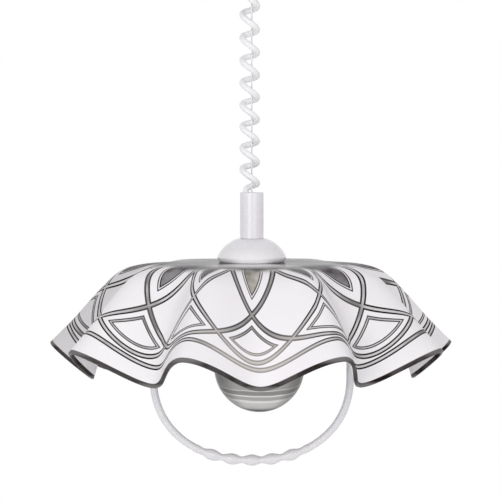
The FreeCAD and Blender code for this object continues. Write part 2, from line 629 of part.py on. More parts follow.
def rope_ferrule():
    return tube(FERRULE_R, ROPE_R + THREAD_GAP, FERRULE_TOP - FERRULE_LENGTH, FERRULE_TOP).fuse(
        rod(FERRULE_R, FERRULE_TOP - FERRULE_LENGTH, FERRULE_TOP - FERRULE_LENGTH + FERRULE_END))


def rope_end():
    """The last stretch of the rope, crimped in its ferrule."""
    return rod(ROPE_R, FERRULE_TOP - FERRULE_LENGTH + FERRULE_END, FERRULE_TOP)


def anchor_yoke():
    half = YOKE_LEG_WIDTH / 2
    yoke = tube(YOKE_R, NIPPLE_R + THREAD_GAP, YOKE_BOTTOM, YOKE_BOTTOM + YOKE_BASE)
    reach = math.sqrt(YOKE_R**2 - half**2)
    for side in (-1, 1):
        y = sorted((side * (reach - YOKE_LEG), side * reach))
        yoke = yoke.fuse(box((-half, half), y, (YOKE_BOTTOM, YOKE_TOP)))
    bar = box((-half, half), (-reach, reach), (YOKE_TOP - YOKE_LEG, YOKE_TOP))
    return yoke.fuse(bar.cut(rod(ROPE_R + GAP, YOKE_TOP - YOKE_LEG - OVER, YOKE_TOP + OVER))).removeSplitter()


def stem_nipple():
    return tube(NIPPLE_R, NIPPLE_BORE_R, NIPPLE_BOTTOM, NIPPLE_TOP)


def stem_nut():
    return hex_nut(NUT_FLATS, NIPPLE_R + THREAD_GAP, STEM_NUT_TOP - NUT_HEIGHT, STEM_NUT_TOP)


def lock_washers():
    """One on the tube's floor and one under the clamp nut, each a toothed ring."""
    rings = []
    for low in (TUBE_FLOOR_TOP + GAP / 2, CLAMP_DISC_TOP + GAP / 2):
        ring = tube(WASHER_R, NIPPLE_R + THREAD_GAP, low, low + LOCK_WASHER)
        notch = box((WASHER_R - WASHER_NOTCH, WASHER_R + OVER), (-WASHER_NOTCH / 2, WASHER_NOTCH / 2),
                    (low - OVER, low + LOCK_WASHER + OVER))
        for i in range(WASHER_NOTCHES):
            ring = ring.cut(notch.rotated(V(0, 0, 0), Z_AXIS, 360 / WASHER_NOTCHES * i))
        rings.append(ring)
    return Part.makeCompound(rings)


def lamp_leads():
    """Two insulated leads, from the lower cord through the nipple to the lampholder."""
    leads = []
    for side in (-1, 1):
        x, y = -LOWER_CORD_OFFSET, side * LEAD_SPREAD
        points = [V(x, y, LOWER_CORD_END), V(x, y, LOWER_CORD_END - LEAD_BEND),
                  V(-LEAD_OFFSET, y, NIPPLE_TOP + LEAD_ABOVE), V(-LEAD_OFFSET, y, NIPPLE_BOTTOM)]
        leads.append(swept(rounded_path(points, LEAD_BEND), LEAD_R))
    return Part.makeCompound(leads)


# ---- dome cap and glass clamp -----------------------------------------------------------------------------
def dome_cap():
    """A bell on a rounded lip, with a flat boss on top."""
    waist, hole, wall = DOME_BOTTOM + DOME_LIP, NIPPLE_R + GAP, DOME_WALL
    reach = DOME_R + DOME_SWELL
    first, last = math.acos(DOME_R / reach), math.acos(DOME_BOSS_R / reach)
    rise = (DOME_HEIGHT - DOME_LIP) / (math.sin(last) - math.sin(first))
    centre = waist - rise * math.sin(first)
    angles = [first + (last - first) * i / DOME_CURVE_STEPS for i in range(DOME_CURVE_STEPS + 1)]

    def bell(inset):
        return [((reach - inset) * math.cos(a), centre + (rise - inset) * math.sin(a)) for a in angles]

    outer, inner = bell(0), bell(wall)
    lip_middle = (DOME_R - DOME_LIP_BULGE, DOME_BOTTOM + DOME_LIP_BULGE_Z)
    top, under = outer[-1], inner[-1]
    edges = path_edges([((DOME_LIP_R, DOME_BOTTOM), lip_middle, (DOME_R, waist)),
                        (top, (hole, top[1])), ((hole, top[1]), (hole, under[1])), ((hole, under[1]), under),
                        (inner[0], (DOME_LIP_R - wall, DOME_BOTTOM)),
                        ((DOME_LIP_R - wall, DOME_BOTTOM), (DOME_LIP_R, DOME_BOTTOM))])
    for points in (outer, inner):
        curve = Part.BSplineCurve()
        curve.interpolate([V(r, 0, z) for r, z in points])
        edges.append(curve.toShape())
    return Part.Face(Part.Wire(Part.__sortEdges__(edges))).revolve(V(0, 0, 0), Z_AXIS, 360)


def clamp_nut():
    low = CLAMP_DISC_TOP + GAP + LOCK_WASHER
    return hex_nut(NUT_FLATS, NIPPLE_R + THREAD_GAP, low, low + NUT_HEIGHT)


def clamp_disc():
    return tube(CLAMP_DISC_R, NIPPLE_R + THREAD_GAP, TOP_GASKET_TOP, CLAMP_DISC_TOP)


def glass_gaskets():
    top = tube(CLAMP_DISC_R, GASKET_INNER_R, GLASS_TOP + GAP, TOP_GASKET_TOP)
    bottom = tube(PLATE_R, GASKET_INNER_R, BOTTOM_GASKET_BOTTOM, GLASS_UNDERSIDE - GAP)
    return Part.makeCompound([top, bottom])


def centring_collar():
    return tube(GLASS_HOLE_R - GAP, NIPPLE_R + THREAD_GAP, BOTTOM_GASKET_BOTTOM, TOP_GASKET_TOP)


def glass_plate():
    return tube(PLATE_R, NIPPLE_R + THREAD_GAP, PLATE_BOTTOM, BOTTOM_GASKET_BOTTOM)


# ---- glass shade ------------------------------------------------------------------------------------------
FOLDS = sorted([(a, 0.0) for a in FLARE_ANGLES] + [(a, 1.0) for a in LOBE_ANGLES])


def fold_weight(degrees):
    """0 on a flare, 1 on a hanging lobe, and a smooth step between them."""
    folds = [(FOLDS[-1][0] - 360, FOLDS[-1][1])] + FOLDS + [(FOLDS[0][0] + 360, FOLDS[0][1])]
    degrees %= 360
    for (a, weight_a), (b, weight_b) in zip(folds, folds[1:]):
        if a <= degrees <= b:
            t = (degrees - a) / (b - a)
            return weight_a + (weight_b - weight_a) * t * t * (3 - 2 * t)
    raise ValueError(degrees)


def meridian(degrees):
    """The shade's outer curve at an angle: one (radius, drop) for each ring."""
    w = fold_weight(degrees)
    return [(fr + (lr - fr) * w, fd + (ld - fd) * w)
            for fr, fd, lr, ld in zip(FLARE_RADII, FLARE_DROPS, LOBE_RADII, LOBE_DROPS)]


def on_shade(degrees, radius, drop):
    a = math.radians(degrees)
    return V(radius * math.sin(a), -radius * math.cos(a), GLASS_TOP - drop)


def ring_angles():
    angles = []
    starts = [a for a, _ in FOLDS]
    for a, b in zip(starts, starts[1:] + [starts[0] + 360]):
        angles += [a + (b - a) * i / POINTS_PER_HALF_FOLD for i in range(POINTS_PER_HALF_FOLD)]
    return angles


def closed_curve(points):
    curve = Part.BSplineCurve()
    curve.interpolate(points, PeriodicFlag=True)
    return curve.toShape()


def glass_shade():
    """The outer skin, the same skin set in by the wall, the ground rim and the flat hub with its hole."""
    angles = ring_angles()
    outside = [[on_shade(a, r, d) for r, d in meridian(a)] for a in angles]
    count, rings = len(angles), len(FLARE_RADII)

    def set_in(i, j):
        """The point under the wall, along the surface's normal."""
        if j == 0:
            return outside[i][j] - V(0, 0, GLASS_WALL)
        around = outside[(i + 1) % count][j] - outside[i - 1][j]
        along = outside[i][min(j + 1, rings - 1)] - outside[i][j - 1]
        normal = around.cross(along).normalize()
        return outside[i][j] + (normal if normal.z < 0 else normal * -1) * GLASS_WALL

    inside = [[set_in(i, j) for j in range(rings)] for i in range(count)]
    faces = []
    edges = []
    for grid in (outside, inside):
        curves = [closed_curve([grid[i][j] for i in range(count)]) for j in range(rings)]
        skin = Part.makeLoft([Part.Wire(c) for c in curves], False, False, False)
        by_height = sorted((e for e in skin.Edges if e.isClosed()), key=lambda e: e.CenterOfMass.z)
        level = grid[0][0].z
        hole = Part.Circle(V(0, 0, level), Z_AXIS, GLASS_HOLE_R).toShape()
        hub = Part.Face(Part.Wire(by_height[-1])).cut(Part.Face(Part.Wire(hole)))
        faces += skin.Faces + hub.Faces
        edges.append((by_height[0], hole))
    for upper, lower in zip(*edges):
        faces += Part.makeRuledSurface(upper, lower).Faces
    shell = Part.makeShell(faces)
    shell.sewShape(0.01)
    solid = Part.Solid(shell)
    if solid.Volume < 0:
        solid.reverse()
    return solid


# ---- handle -----------------------------------------------------------------------------------------------
def bow_level(x):
    """The level of the bow's lower half, on its middle line."""
    reach = (1 - abs(x / HANDLE_HALF_WIDTH) ** HANDLE_FULLNESS) ** (1 / HANDLE_FULLNESS)
    return HANDLE_WIDEST_Z - HANDLE_BOW_DEPTH * reach


def bow_direction(x):
    """Which way the bow's lower half runs at a place, towards the left."""
    share = abs(x / HANDLE_HALF_WIDTH)
    along = HANDLE_HALF_WIDTH * (1 - share**HANDLE_FULLNESS) ** (1 - 1 / HANDLE_FULLNESS)
    return V(-along, 0, -math.copysign(HANDLE_BOW_DEPTH * share ** (HANDLE_FULLNESS - 1), x))


def bow_curve(first_x, last_x, steps):
    """A smooth curve along the lower half between two places, its points closer together at the sides."""
    def turn(x):
        return math.acos(x / HANDLE_HALF_WIDTH)

    places = [HANDLE_HALF_WIDTH * math.cos(turn(first_x) + (turn(last_x) - turn(first_x)) * i / steps)
              for i in range(steps + 1)]
    curve = Part.BSplineCurve()
    curve.interpolate([V(x, 0, bow_level(x)) for x in places], InitialTangent=bow_direction(first_x),
                      FinalTangent=bow_direction(last_x))
    return curve.toShape()


def bow_bead():
    """One bead of the grip, at the origin along X."""
    half = GRIP_HALF / GRIP_BEADS * GRIP_BEAD_OVERLAP
    arc = Part.Arc(V(-half, 0, 0), V(0, 0, GRIP_BEAD_R), V(half, 0, 0)).toShape()
    face = Part.Face(Part.Wire([arc, Part.makeLine(V(half, 0, 0), V(-half, 0, 0))]))
    return face.revolve(V(0, 0, 0), X_AXIS, 360)


def handle_bow():
    """A plastic bow: a hub ring, two arms under the glass, two legs, and a grip of beads."""
    corner = V(HANDLE_HALF_WIDTH, 0, HANDLE_ARM_Z - HANDLE_SHOULDER_DROP)
    arm = rounded_path([V(HANDLE_HUB_R - ARM_SINK, 0, HANDLE_ARM_Z), corner,
                        V(HANDLE_HALF_WIDTH, 0, HANDLE_WIDEST_Z)], HANDLE_SHOULDER_R)
    side = swept(arm, HANDLE_ROD_R).fuse(
        swept(Part.Wire([bow_curve(HANDLE_HALF_WIDTH, GRIP_HALF, HANDLE_STEPS)]), HANDLE_ROD_R))
    bow = side.fuse(side.mirror(V(0, 0, 0), X_AXIS))
    bow = bow.fuse(swept(Part.Wire([bow_curve(GRIP_HALF, -GRIP_HALF, HANDLE_STEPS)]), GRIP_NECK_R))
    bow = bow.fuse(rod(HANDLE_HUB_R, HANDLE_HUB_BOTTOM, HANDLE_HUB_TOP))
    pitch = 2 * GRIP_HALF / GRIP_BEADS
    for i in range(GRIP_BEADS):
        x = (i - (GRIP_BEADS - 1) / 2) * pitch
        rise = math.atan2(bow_level(x + GRIP_NECK_R) - bow_level(x - GRIP_NECK_R), 2 * GRIP_NECK_R)
        bead = bow_bead().rotated(V(0, 0, 0), Y_AXIS, -math.degrees(rise))
        bow = bow.fuse(bead.translated(V(x, 0, bow_level(x))))
    return bow.cut(rod(NIPPLE_R + GAP, HANDLE_HUB_BOTTOM - OVER, HANDLE_HUB_TOP + OVER)).removeSplitter()


# ---- lampholder -------------------------------------------------------------------------------------------
def holder_cap():
    wall, bore = HOLDER_WALL, NIPPLE_R + HOLDER_BORE_CLEARANCE
    low = HOLDER_CAP_BOTTOM
    cone = HOLDER_TOP - HOLDER_CONE
    outer = [(bore, HOLDER_TOP), (HOLDER_TOP_R, HOLDER_TOP), (HOLDER_R, cone), (HOLDER_R, low)]
    inner = [(HOLDER_R - wall, low), (HOLDER_R - wall, cone - wall / 2),
             (HOLDER_TOP_R - wall / 2, HOLDER_TOP - wall), (bore, HOLDER_TOP - wall)]
    return leaning(lathe(outline(outer + inner)))


def holder_nut():
    return hex_nut(NUT_FLATS, NIPPLE_R + THREAD_GAP, HOLDER_NUT_TOP - HOLDER_NUT, HOLDER_NUT_TOP)


def holder_insert():
    insert = rod(HOLDER_R - HOLDER_WALL - GAP, INSERT_BOTTOM, INSERT_TOP)
    for side in (-1, 1):
        insert = insert.cut(rod(CONTACT_SCREW_R + THREAD_GAP, INSERT_BOTTOM - OVER, INSERT_TOP + OVER, 0,
                                side * CONTACT_SCREW_Y))
    return leaning(insert)


def contact_screws():
    top = INSERT_TOP + CONTACT_SCREW_ABOVE
    return leaning(Part.makeCompound([rod(CONTACT_SCREW_R, top - CONTACT_SCREW, top, 0, y)
                                      for y in (-CONTACT_SCREW_Y, CONTACT_SCREW_Y)]))


def screw_shell():
    return leaning(tube(SHELL_R, SHELL_R - SHELL_WALL, INSERT_BOTTOM - SHELL_LENGTH, INSERT_BOTTOM - GAP))


def holder_skirt():
    low, bore, edge = SKIRT_TOP - HOLDER_SKIRT, HOLDER_R - HOLDER_WALL, HOLDER_WALL / 2
    return leaning(lathe(outline([(bore, low), (HOLDER_R - edge, low), (HOLDER_R, low + edge),
                                  (HOLDER_R, SKIRT_TOP), (bore, SKIRT_TOP)])))


# ---- lamp -------------------------------------------------------------------------------------------------
def lamp_contact():
    return leaning(rod(LAMP_CONTACT_R, LAMP_TOP - LAMP_CONTACT, LAMP_TOP))


def lamp_insulator():
    return leaning(Part.makeCone(INSULATOR_R, INSULATOR_TOP_R, LAMP_INSULATOR, V(0, 0, LAMP_CAP_TOP), Z_AXIS))


def lamp_cap():
    """The lamp's screw cap, a rolled thread."""
    pitch, root = LAMP_CAP_LENGTH / LAMP_CAP_TURNS, LAMP_CAP_R - LAMP_THREAD_DEPTH
    outer = []
    for i in range(LAMP_CAP_TURNS):
        top = LAMP_CAP_TOP - i * pitch
        outer += [(root, top), (LAMP_CAP_R, top - pitch / 2)]
    outer.append((root, LAMP_CAP_BOTTOM))
    inner = [(r - LAMP_CAP_WALL, z) for r, z in reversed(outer)]
    return leaning(lathe(outline(outer + inner)))


def globe_outline(shrink):
    """The globe's curve: an arc out of the neck, and the ball."""
    ball_r, neck_r, flare_r = GLOBE_R - shrink, GLOBE_NECK_R - shrink, NECK_FLARE_R + shrink
    rise = math.sqrt((ball_r + flare_r) ** 2 - (neck_r + flare_r) ** 2)
    blend = V(neck_r + flare_r, 0, GLOBE_Z + rise)
    towards = (V(0, 0, GLOBE_Z) - blend).normalize()
    join = blend + towards * flare_r
    middle = blend + (towards + V(-1, 0, 0)).normalize() * flare_r
    side = (V(ball_r, 0, 0) + V(0, 0, -ball_r)).normalize() * ball_r
    return [((neck_r, LAMP_CAP_BOTTOM - GAP), (neck_r, blend.z)),
            ((neck_r, blend.z), (middle.x, middle.z), (join.x, join.z)),
            ((join.x, join.z), (side.x, GLOBE_Z + side.z), (0, GLOBE_Z - ball_r))]


def lamp_globe():
    top = LAMP_CAP_BOTTOM - GAP

    def body(shrink):
        return lathe(globe_outline(shrink) + [((0, GLOBE_Z - GLOBE_R + shrink), (0, top)),
                                              ((0, top), (GLOBE_NECK_R - shrink, top))])

    return leaning(body(0).cut(body(GLOBE_WALL)))


def lamp_stem():
    top = LAMP_CAP_BOTTOM - GAP
    stem = rod(LAMP_STEM_R, top - LAMP_STEM, top)
    flange = rod(GLOBE_NECK_R - GLOBE_WALL - GAP, top - LAMP_FLANGE, top)
    return leaning(stem.fuse(flange))


PIECES = (
    ceiling_bracket, canopy_cover, canopy_screws, balancer_frame, frame_screws, drum_axle, axle_clips,
    mainspring, brake_leaf, brake_pad, terminal_block, terminal_screws, supply_cord_upper, cord_grip,
    grip_screws, outlet_bush, outlet_nut, rope_drum, barrel_cover, rope_winding, brake_screw,
    suspension_rope, curly_cord, stem_tube, tube_bush, supply_cord_lower, rope_ferrule, rope_end,
    anchor_yoke, stem_nipple, stem_nut, lock_washers, lamp_leads, dome_cap, clamp_nut, clamp_disc,
    glass_gaskets, centring_collar, glass_plate, glass_shade, handle_bow, holder_cap, holder_nut,
    holder_insert, contact_screws, screw_shell, holder_skirt, lamp_contact, lamp_insulator, lamp_cap,
    lamp_globe, lamp_stem,
)

os.makedirs("parts", exist_ok=True)
for piece in PIECES:
    piece().exportStep("parts/" + piece.__name__ + ".step")
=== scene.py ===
import json
import math

import bpy
import numpy as np
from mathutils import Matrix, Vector


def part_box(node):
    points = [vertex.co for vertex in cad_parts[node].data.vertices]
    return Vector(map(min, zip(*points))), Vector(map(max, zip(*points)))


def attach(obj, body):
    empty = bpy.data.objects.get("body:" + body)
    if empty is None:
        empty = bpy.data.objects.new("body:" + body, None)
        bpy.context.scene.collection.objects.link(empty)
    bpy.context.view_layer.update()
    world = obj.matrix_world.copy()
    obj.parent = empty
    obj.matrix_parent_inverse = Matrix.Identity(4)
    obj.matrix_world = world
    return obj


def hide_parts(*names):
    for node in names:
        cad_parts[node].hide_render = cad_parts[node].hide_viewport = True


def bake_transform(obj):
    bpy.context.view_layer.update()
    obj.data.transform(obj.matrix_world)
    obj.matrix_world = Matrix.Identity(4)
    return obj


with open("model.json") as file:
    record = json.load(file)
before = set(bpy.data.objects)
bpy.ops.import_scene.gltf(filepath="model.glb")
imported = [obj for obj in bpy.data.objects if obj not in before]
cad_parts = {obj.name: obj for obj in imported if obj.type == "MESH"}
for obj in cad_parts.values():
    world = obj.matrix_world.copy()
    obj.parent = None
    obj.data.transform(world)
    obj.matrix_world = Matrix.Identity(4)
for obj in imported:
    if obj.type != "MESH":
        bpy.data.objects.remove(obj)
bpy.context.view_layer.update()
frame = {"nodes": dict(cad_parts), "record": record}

MM = 0.001


# ---- camera ---------------------------------------------------------------------------------------------
HUB = Vector((0, 0, -0.3753))  # the shade's top, on the axis
CAMERA_DISTANCE = 4.2
CAMERA_ELEVATION = 0.06  # radians
CAMERA_SHIFT = (-0.0036, 0.0243)  # of the picture's middle, in picture widths
FRAME_WIDTH = 0.525  # what the picture's width covers at the hub
SENSOR = 36.0

camera = bpy.data.objects.new("camera", bpy.data.cameras.new("camera"))
bpy.context.scene.collection.objects.link(camera)
outward = Vector((0, -math.cos(CAMERA_ELEVATION), math.sin(CAMERA_ELEVATION)))
camera.location = HUB + CAMERA_DISTANCE * outward
camera.rotation_euler = (-outward).to_track_quat("-Z", "Y").to_euler()
camera.data.sensor_width = SENSOR
camera.data.lens = SENSOR * CAMERA_DISTANCE / FRAME_WIDTH
camera.data.shift_x, camera.data.shift_y = CAMERA_SHIFT
camera.data.clip_end = 100
bpy.context.scene.camera = camera
bpy.context.scene.view_settings.view_transform = "Standard"


# ---- mesh helpers ---------------------------------------------------------------------------------------
def add_object(name, data):
    piece = bpy.data.objects.new(name, data)
    bpy.context.scene.collection.objects.link(piece)
    return piece


def mesh_of(name, vertices, faces, smooth=True):
    mesh = bpy.data.meshes.new(name)
    mesh.from_pydata([tuple(v) for v in vertices], [], faces)
    mesh.validate()
    mesh.polygons.foreach_set("use_smooth", [smooth] * len(mesh.polygons))
    return mesh


def route_points(name, points, resolution):
    """A smooth line through a cord's route: the points of its NURBS spline."""
    curve = bpy.data.curves.new(name, "CURVE")
    curve.dimensions = "3D"
    curve.resolution_u = resolution
    spline = curve.splines.new("NURBS")
    spline.points.add(len(points) - 1)
    for point, place in zip(spline.points, points):
        point.co = (*place, 1)
    spline.order_u = 3
    spline.use_endpoint_u = True
    line = bpy.data.objects.new(name, curve)
    mesh = bpy.data.meshes.new_from_object(line)
    path = np.array([v.co[:] for v in mesh.vertices])
    bpy.data.objects.remove(line)
    bpy.data.meshes.remove(mesh)
    bpy.data.curves.remove(curve)
    return path


def sides_along(path):
    """Two directions across the path at each point, turned no more than the path turns."""
    tangents = np.gradient(path, axis=0)
    tangents /= np.linalg.norm(tangents, axis=1)[:, None]
    first = np.cross(tangents[0], (0.0, 1.0, 0.0))
    normals = [first / np.linalg.norm(first)]
    for tangent in tangents[1:]:
        n = normals[-1] - tangent * (normals[-1] @ tangent)
        normals.append(n / np.linalg.norm(n))
    normals = np.array(normals)
    return normals, np.cross(tangents, normals)


def sweep(name, path, radii, around=16, lobes=0, depth=0.0, twist=0.0):
    """A closed tube along a path; lobes give it the ridges of laid strands, twist is in turns per metre."""
    normals, others = sides_along(path)
    length = np.concatenate([[0], np.cumsum(np.linalg.norm(np.diff(path, axis=0), axis=1))])
    angles = np.linspace(0, 2 * math.pi, around, endpoint=False)
    vertices = []
    for i in range(len(path)):
        phase = angles + 2 * math.pi * twist * length[i]
        r = radii[i] * (1 - depth * (0.5 - 0.5 * np.cos(lobes * angles)))
        vertices += list(path[i] + (normals[i][None] * np.cos(phase)[:, None]
                                    + others[i][None] * np.sin(phase)[:, None]) * r[:, None])
    faces = []
    for i in range(len(path) - 1):
        a, b = i * around, (i + 1) * around
        faces += [(a + k, a + (k + 1) % around, b + (k + 1) % around, b + k) for k in range(around)]
    faces.append(tuple(range(around))[::-1])
    faces.append(tuple((len(path) - 1) * around + k for k in range(around)))
    return mesh_of(name, vertices, faces)


# ---- cords ----------------------------------------------------------------------------------------------
CORD_R = 3.2 * MM
COIL_R = 7.85 * MM  # of the spline's points; the cord's middle runs at 7.7 mm
COIL_TURNS = 9
COIL_STEPS = 16  # points per turn
COIL_LEAD = 0.25  # turns at each end in which it reaches its radius
COIL_START = -93.3 * MM
COIL_PITCH = 24.6 * MM
COIL_CLOSER = 0.164 * MM  # each turn sags less than the one above it
COIL_LEAN = math.tan(math.radians(14))  # of each turn, up to the left
COIL_ENTRY = -4.6 * MM  # where the cord enters and leaves the coil, to the left of the rope
COIL_EXIT = -6.2 * MM
COIL_SIDE = -2.2 * MM  # the coil hangs a little to the left of the rope


def coil_point(n):
    """The cord's middle after n turns: left-handed, from the left, each turn leaning up to the left."""
    angle = math.pi + 2 * math.pi * n
    radius = COIL_R
    if n < COIL_LEAD:
        radius = -COIL_ENTRY + (COIL_R + COIL_ENTRY) * n / COIL_LEAD
    if n > COIL_TURNS - COIL_LEAD:
        radius = COIL_R + (-COIL_EXIT - COIL_R) * (n - COIL_TURNS + COIL_LEAD) / COIL_LEAD
    x, y = radius * math.cos(angle), radius * math.sin(angle)
    share = min(1, 2 * n, 2 * (COIL_TURNS - n))  # comes in over half a turn at each end
    lean = COIL_LEAN * share
    return x + COIL_SIDE * share, y, COIL_START - COIL_PITCH * n + COIL_CLOSER * n * n - lean * x


coil = [coil_point(i / COIL_STEPS) for i in range(1, COIL_TURNS * COIL_STEPS)]
cord_route = [(-0.035, 0, -0.0176), (-0.035, 0, -0.0416), (-0.0046, 0, -0.0635), (-0.0046, 0, -0.0890)]
cord_route += coil + [(COIL_EXIT, 0, -0.3040), (COIL_EXIT, 0, -0.3261)]
cord_path = route_points("cord_route", cord_route, 4)
curly = add_object("curly_supply_cord", sweep("curly_supply_cord", cord_path, [CORD_R] * len(cord_path),
                                              around=20))
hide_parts("curly_cord", "supply_cord_upper", "supply_cord_lower")
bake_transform(curly)

ROPE_R = 0.9 * MM
rope_path = route_points("rope_route", [(0, 0, z) for z in np.linspace(-0.031, -0.3279, 12)], 24)
rope = add_object("wire_rope", sweep("wire_rope", rope_path, [ROPE_R] * len(rope_path),
                                     around=24, lobes=6, depth=0.28, twist=110))
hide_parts("suspension_rope")
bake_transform(rope)


# ---- node helpers ---------------------------------------------------------------------------------------
NOISE_RANGE = (0.3, 0.7)  # where noise mostly lies
LINE_SOFT = (0.15, 0.35)  # mm over which a printed line fades, inside and outside its edge


class Nodes:
    """A node tree, with short calls for what repeats."""

    def __init__(self, tree):
        self.tree = tree

    def node(self, kind, **settings):
        made = self.tree.nodes.new(kind)
        for key, value in settings.items():
            setattr(made, key, value)
        return made

    def feed(self, value, socket):
        if isinstance(value, bpy.types.NodeSocket):
            self.tree.links.new(value, socket)
        elif value is not None:
            socket.default_value = value

    def math(self, operation, a, b=None, c=None):
        made = self.node("ShaderNodeMath", operation=operation)
        for socket, value in zip(made.inputs, (a, b, c)):
            self.feed(value, socket)
        return made.outputs[0]

    def chain(self, operation, first, *others):
        for value in others:
            first = self.math(operation, first, value)
        return first

    def times(self, *values):
        return self.chain("MULTIPLY", *values)

    def most(self, *values):
        return self.chain("MAXIMUM", *values)

    def size(self, value):
        return self.math("ABSOLUTE", value)

    def length(self, x, y):
        return self.math("SQRT", self.math("ADD", self.times(x, x), self.times(y, y)))

    def spread(self, value, low, high, to_low, to_high, smooth=False):
        made = self.node("ShaderNodeMapRange", interpolation_type="SMOOTHSTEP" if smooth else "LINEAR")
        for socket, number in zip(made.inputs, (value, low, high, to_low, to_high)):
            self.feed(number, socket)
        return made.outputs[0]

    def rise(self, value, low, high, top=1.0):
        return self.spread(value, low, high, 0, top, True)

    def fall(self, value, low, high, top=1.0):
        return self.spread(value, low, high, top, 0, True)

    def line(self, distance, middle, width):
        """1 on a line of this width, with soft edges."""
        away = self.size(self.math("SUBTRACT", distance, middle))
        return self.fall(away, width / 2 - LINE_SOFT[0], width / 2 + LINE_SOFT[1])

    def blend(self, share, a, b):
        """A colour from a to b, each a socket or three numbers."""
        made = self.node("ShaderNodeMix", data_type="RGBA")
        self.feed(share, made.inputs[0])
        for colour, socket in ((a, made.inputs[6]), (b, made.inputs[7])):
            self.feed(colour if isinstance(colour, bpy.types.NodeSocket) else (*colour, 1), socket)
        return made.outputs[2]

    def uneven(self, noise, low, high):
        return self.spread(noise, *NOISE_RANGE, low, high)

    def mottled(self, noise, a, b):
        return self.blend(self.uneven(noise, 0, 1), a, b)

    def place(self):
        return self.node("ShaderNodeTexCoord").outputs["Object"]

    def parts(self, vector):
        split = self.node("ShaderNodeSeparateXYZ")
        self.feed(vector, split.inputs[0])
        return split.outputs

    def noise(self, scale, detail=3.0, place=None):
        made = self.node("ShaderNodeTexNoise")
        self.feed(self.place() if place is None else place, made.inputs["Vector"])
        made.inputs["Scale"].default_value = scale
        made.inputs["Detail"].default_value = detail
        return made.outputs["Fac"]

    def seen(self):
        """1 for rays that show something to the camera, straight, mirrored or through glass."""
        ray = self.node("ShaderNodeLightPath").outputs
        return self.most(ray["Is Camera Ray"], ray["Is Glossy Ray"], ray["Is Transmission Ray"])


class Sheet(Nodes):
    """A material's node tree."""

    def __init__(self, name):
        self.material = bpy.data.materials.new(name)
        self.material.use_nodes = True
        super().__init__(self.material.node_tree)
        self.shader = self.tree.nodes["Principled BSDF"]

    def set(self, **values):
        for key, value in values.items():
            self.feed(value, self.shader.inputs[key.replace("_", " ")])

    def bump(self, height, strength, distance=0.0002):
        made = self.node("ShaderNodeBump")
        made.inputs["Strength"].default_value = strength
        made.inputs["Distance"].default_value = distance
        self.feed(height, made.inputs["Height"])
        self.feed(made.outputs[0], self.shader.inputs["Normal"])


# ---- materials ------------------------------------------------------------------------------------------
def surface(name, colour, other, grain, rough, depth=0.1, fine=1400, metal=0.0, through=0.0):
    """A plain moulded or metal surface: mottled colour, uneven gloss and a fine relief."""
    sheet = Sheet(name)
    broad = sheet.noise(grain, 4)
    sheet.set(Base_Color=sheet.mottled(broad, colour, other))
    sheet.set(Roughness=sheet.spread(broad, 0.25, 0.75, *rough))
    sheet.set(Metallic=metal, Transmission_Weight=through)
    sheet.bump(sheet.noise(fine, 2), depth)
    return sheet.material


WHITE = (0.835, 0.815, 0.85)
WHITE_OTHER = (0.80, 0.78, 0.815)
DOME_PAINTED_LIGHT = (-0.372, -0.358)  # metres: painted light, the enamel gets brighter downwards between these levels
DOME_PAINTED_LIGHT_WHITE = (0.94, 0.92, 0.94)


def enamel():
    """White enamel, with painted light that makes it a little brighter low on the dome."""
    sheet = Sheet("white_enamel")
    broad = sheet.noise(40, 4)
    z = sheet.parts(sheet.place())[2]
    plain = sheet.mottled(broad, WHITE, WHITE_OTHER)
    # painted light: the enamel turns brighter low on the dome
    sheet.set(Base_Color=sheet.blend(sheet.fall(z, *DOME_PAINTED_LIGHT), plain, DOME_PAINTED_LIGHT_WHITE))
    sheet.set(Roughness=sheet.spread(broad, 0.25, 0.75, 0.22, 0.32), Coat_Weight=0.3)
    sheet.bump(sheet.noise(500, 2), 0.03)
    return sheet.material


GLOBE_R = 47.5 * MM
GLOBE_TILT = math.radians(8.6)  # of the painted reflection rings' axis, towards the front
GLOBE_REFLECTION_RINGS = (  # painted reflections, mostly of the shade's rim: height along the axis in ball radii, and brightness
    (-1.0, 0.02), (-0.875, 0.02), (-0.845, 0.10), (-0.80, 0.50), (-0.75, 0.64), (-0.65, 0.70),
    (-0.61, 0.90), (-0.585, 0.84), (-0.57, 0.48), (-0.50, 0.46), (-0.485, 0.60), (-0.475, 0.92),
    (-0.46, 0.92), (-0.445, 0.34), (-0.36, 0.32), (-0.345, 0.42), (-0.338, 0.84), (-0.33, 0.84),
    (-0.32, 0.46), (-0.1, 0.44), (0.1, 0.5), (0.3, 0.3), (0.7, 0.2),
)
GLOBE_SIDE_SHADE = (0.10, 0.095, 0.095)  # painted shade: the ball darkens to the left and right
GLOBE_SIDE_SHADE_FROM, GLOBE_SIDE_SHADE_TO = 0.5, 0.97  # sines of the angle from the front
GLOBE_SIDE_SHADE_SHARE = 0.65


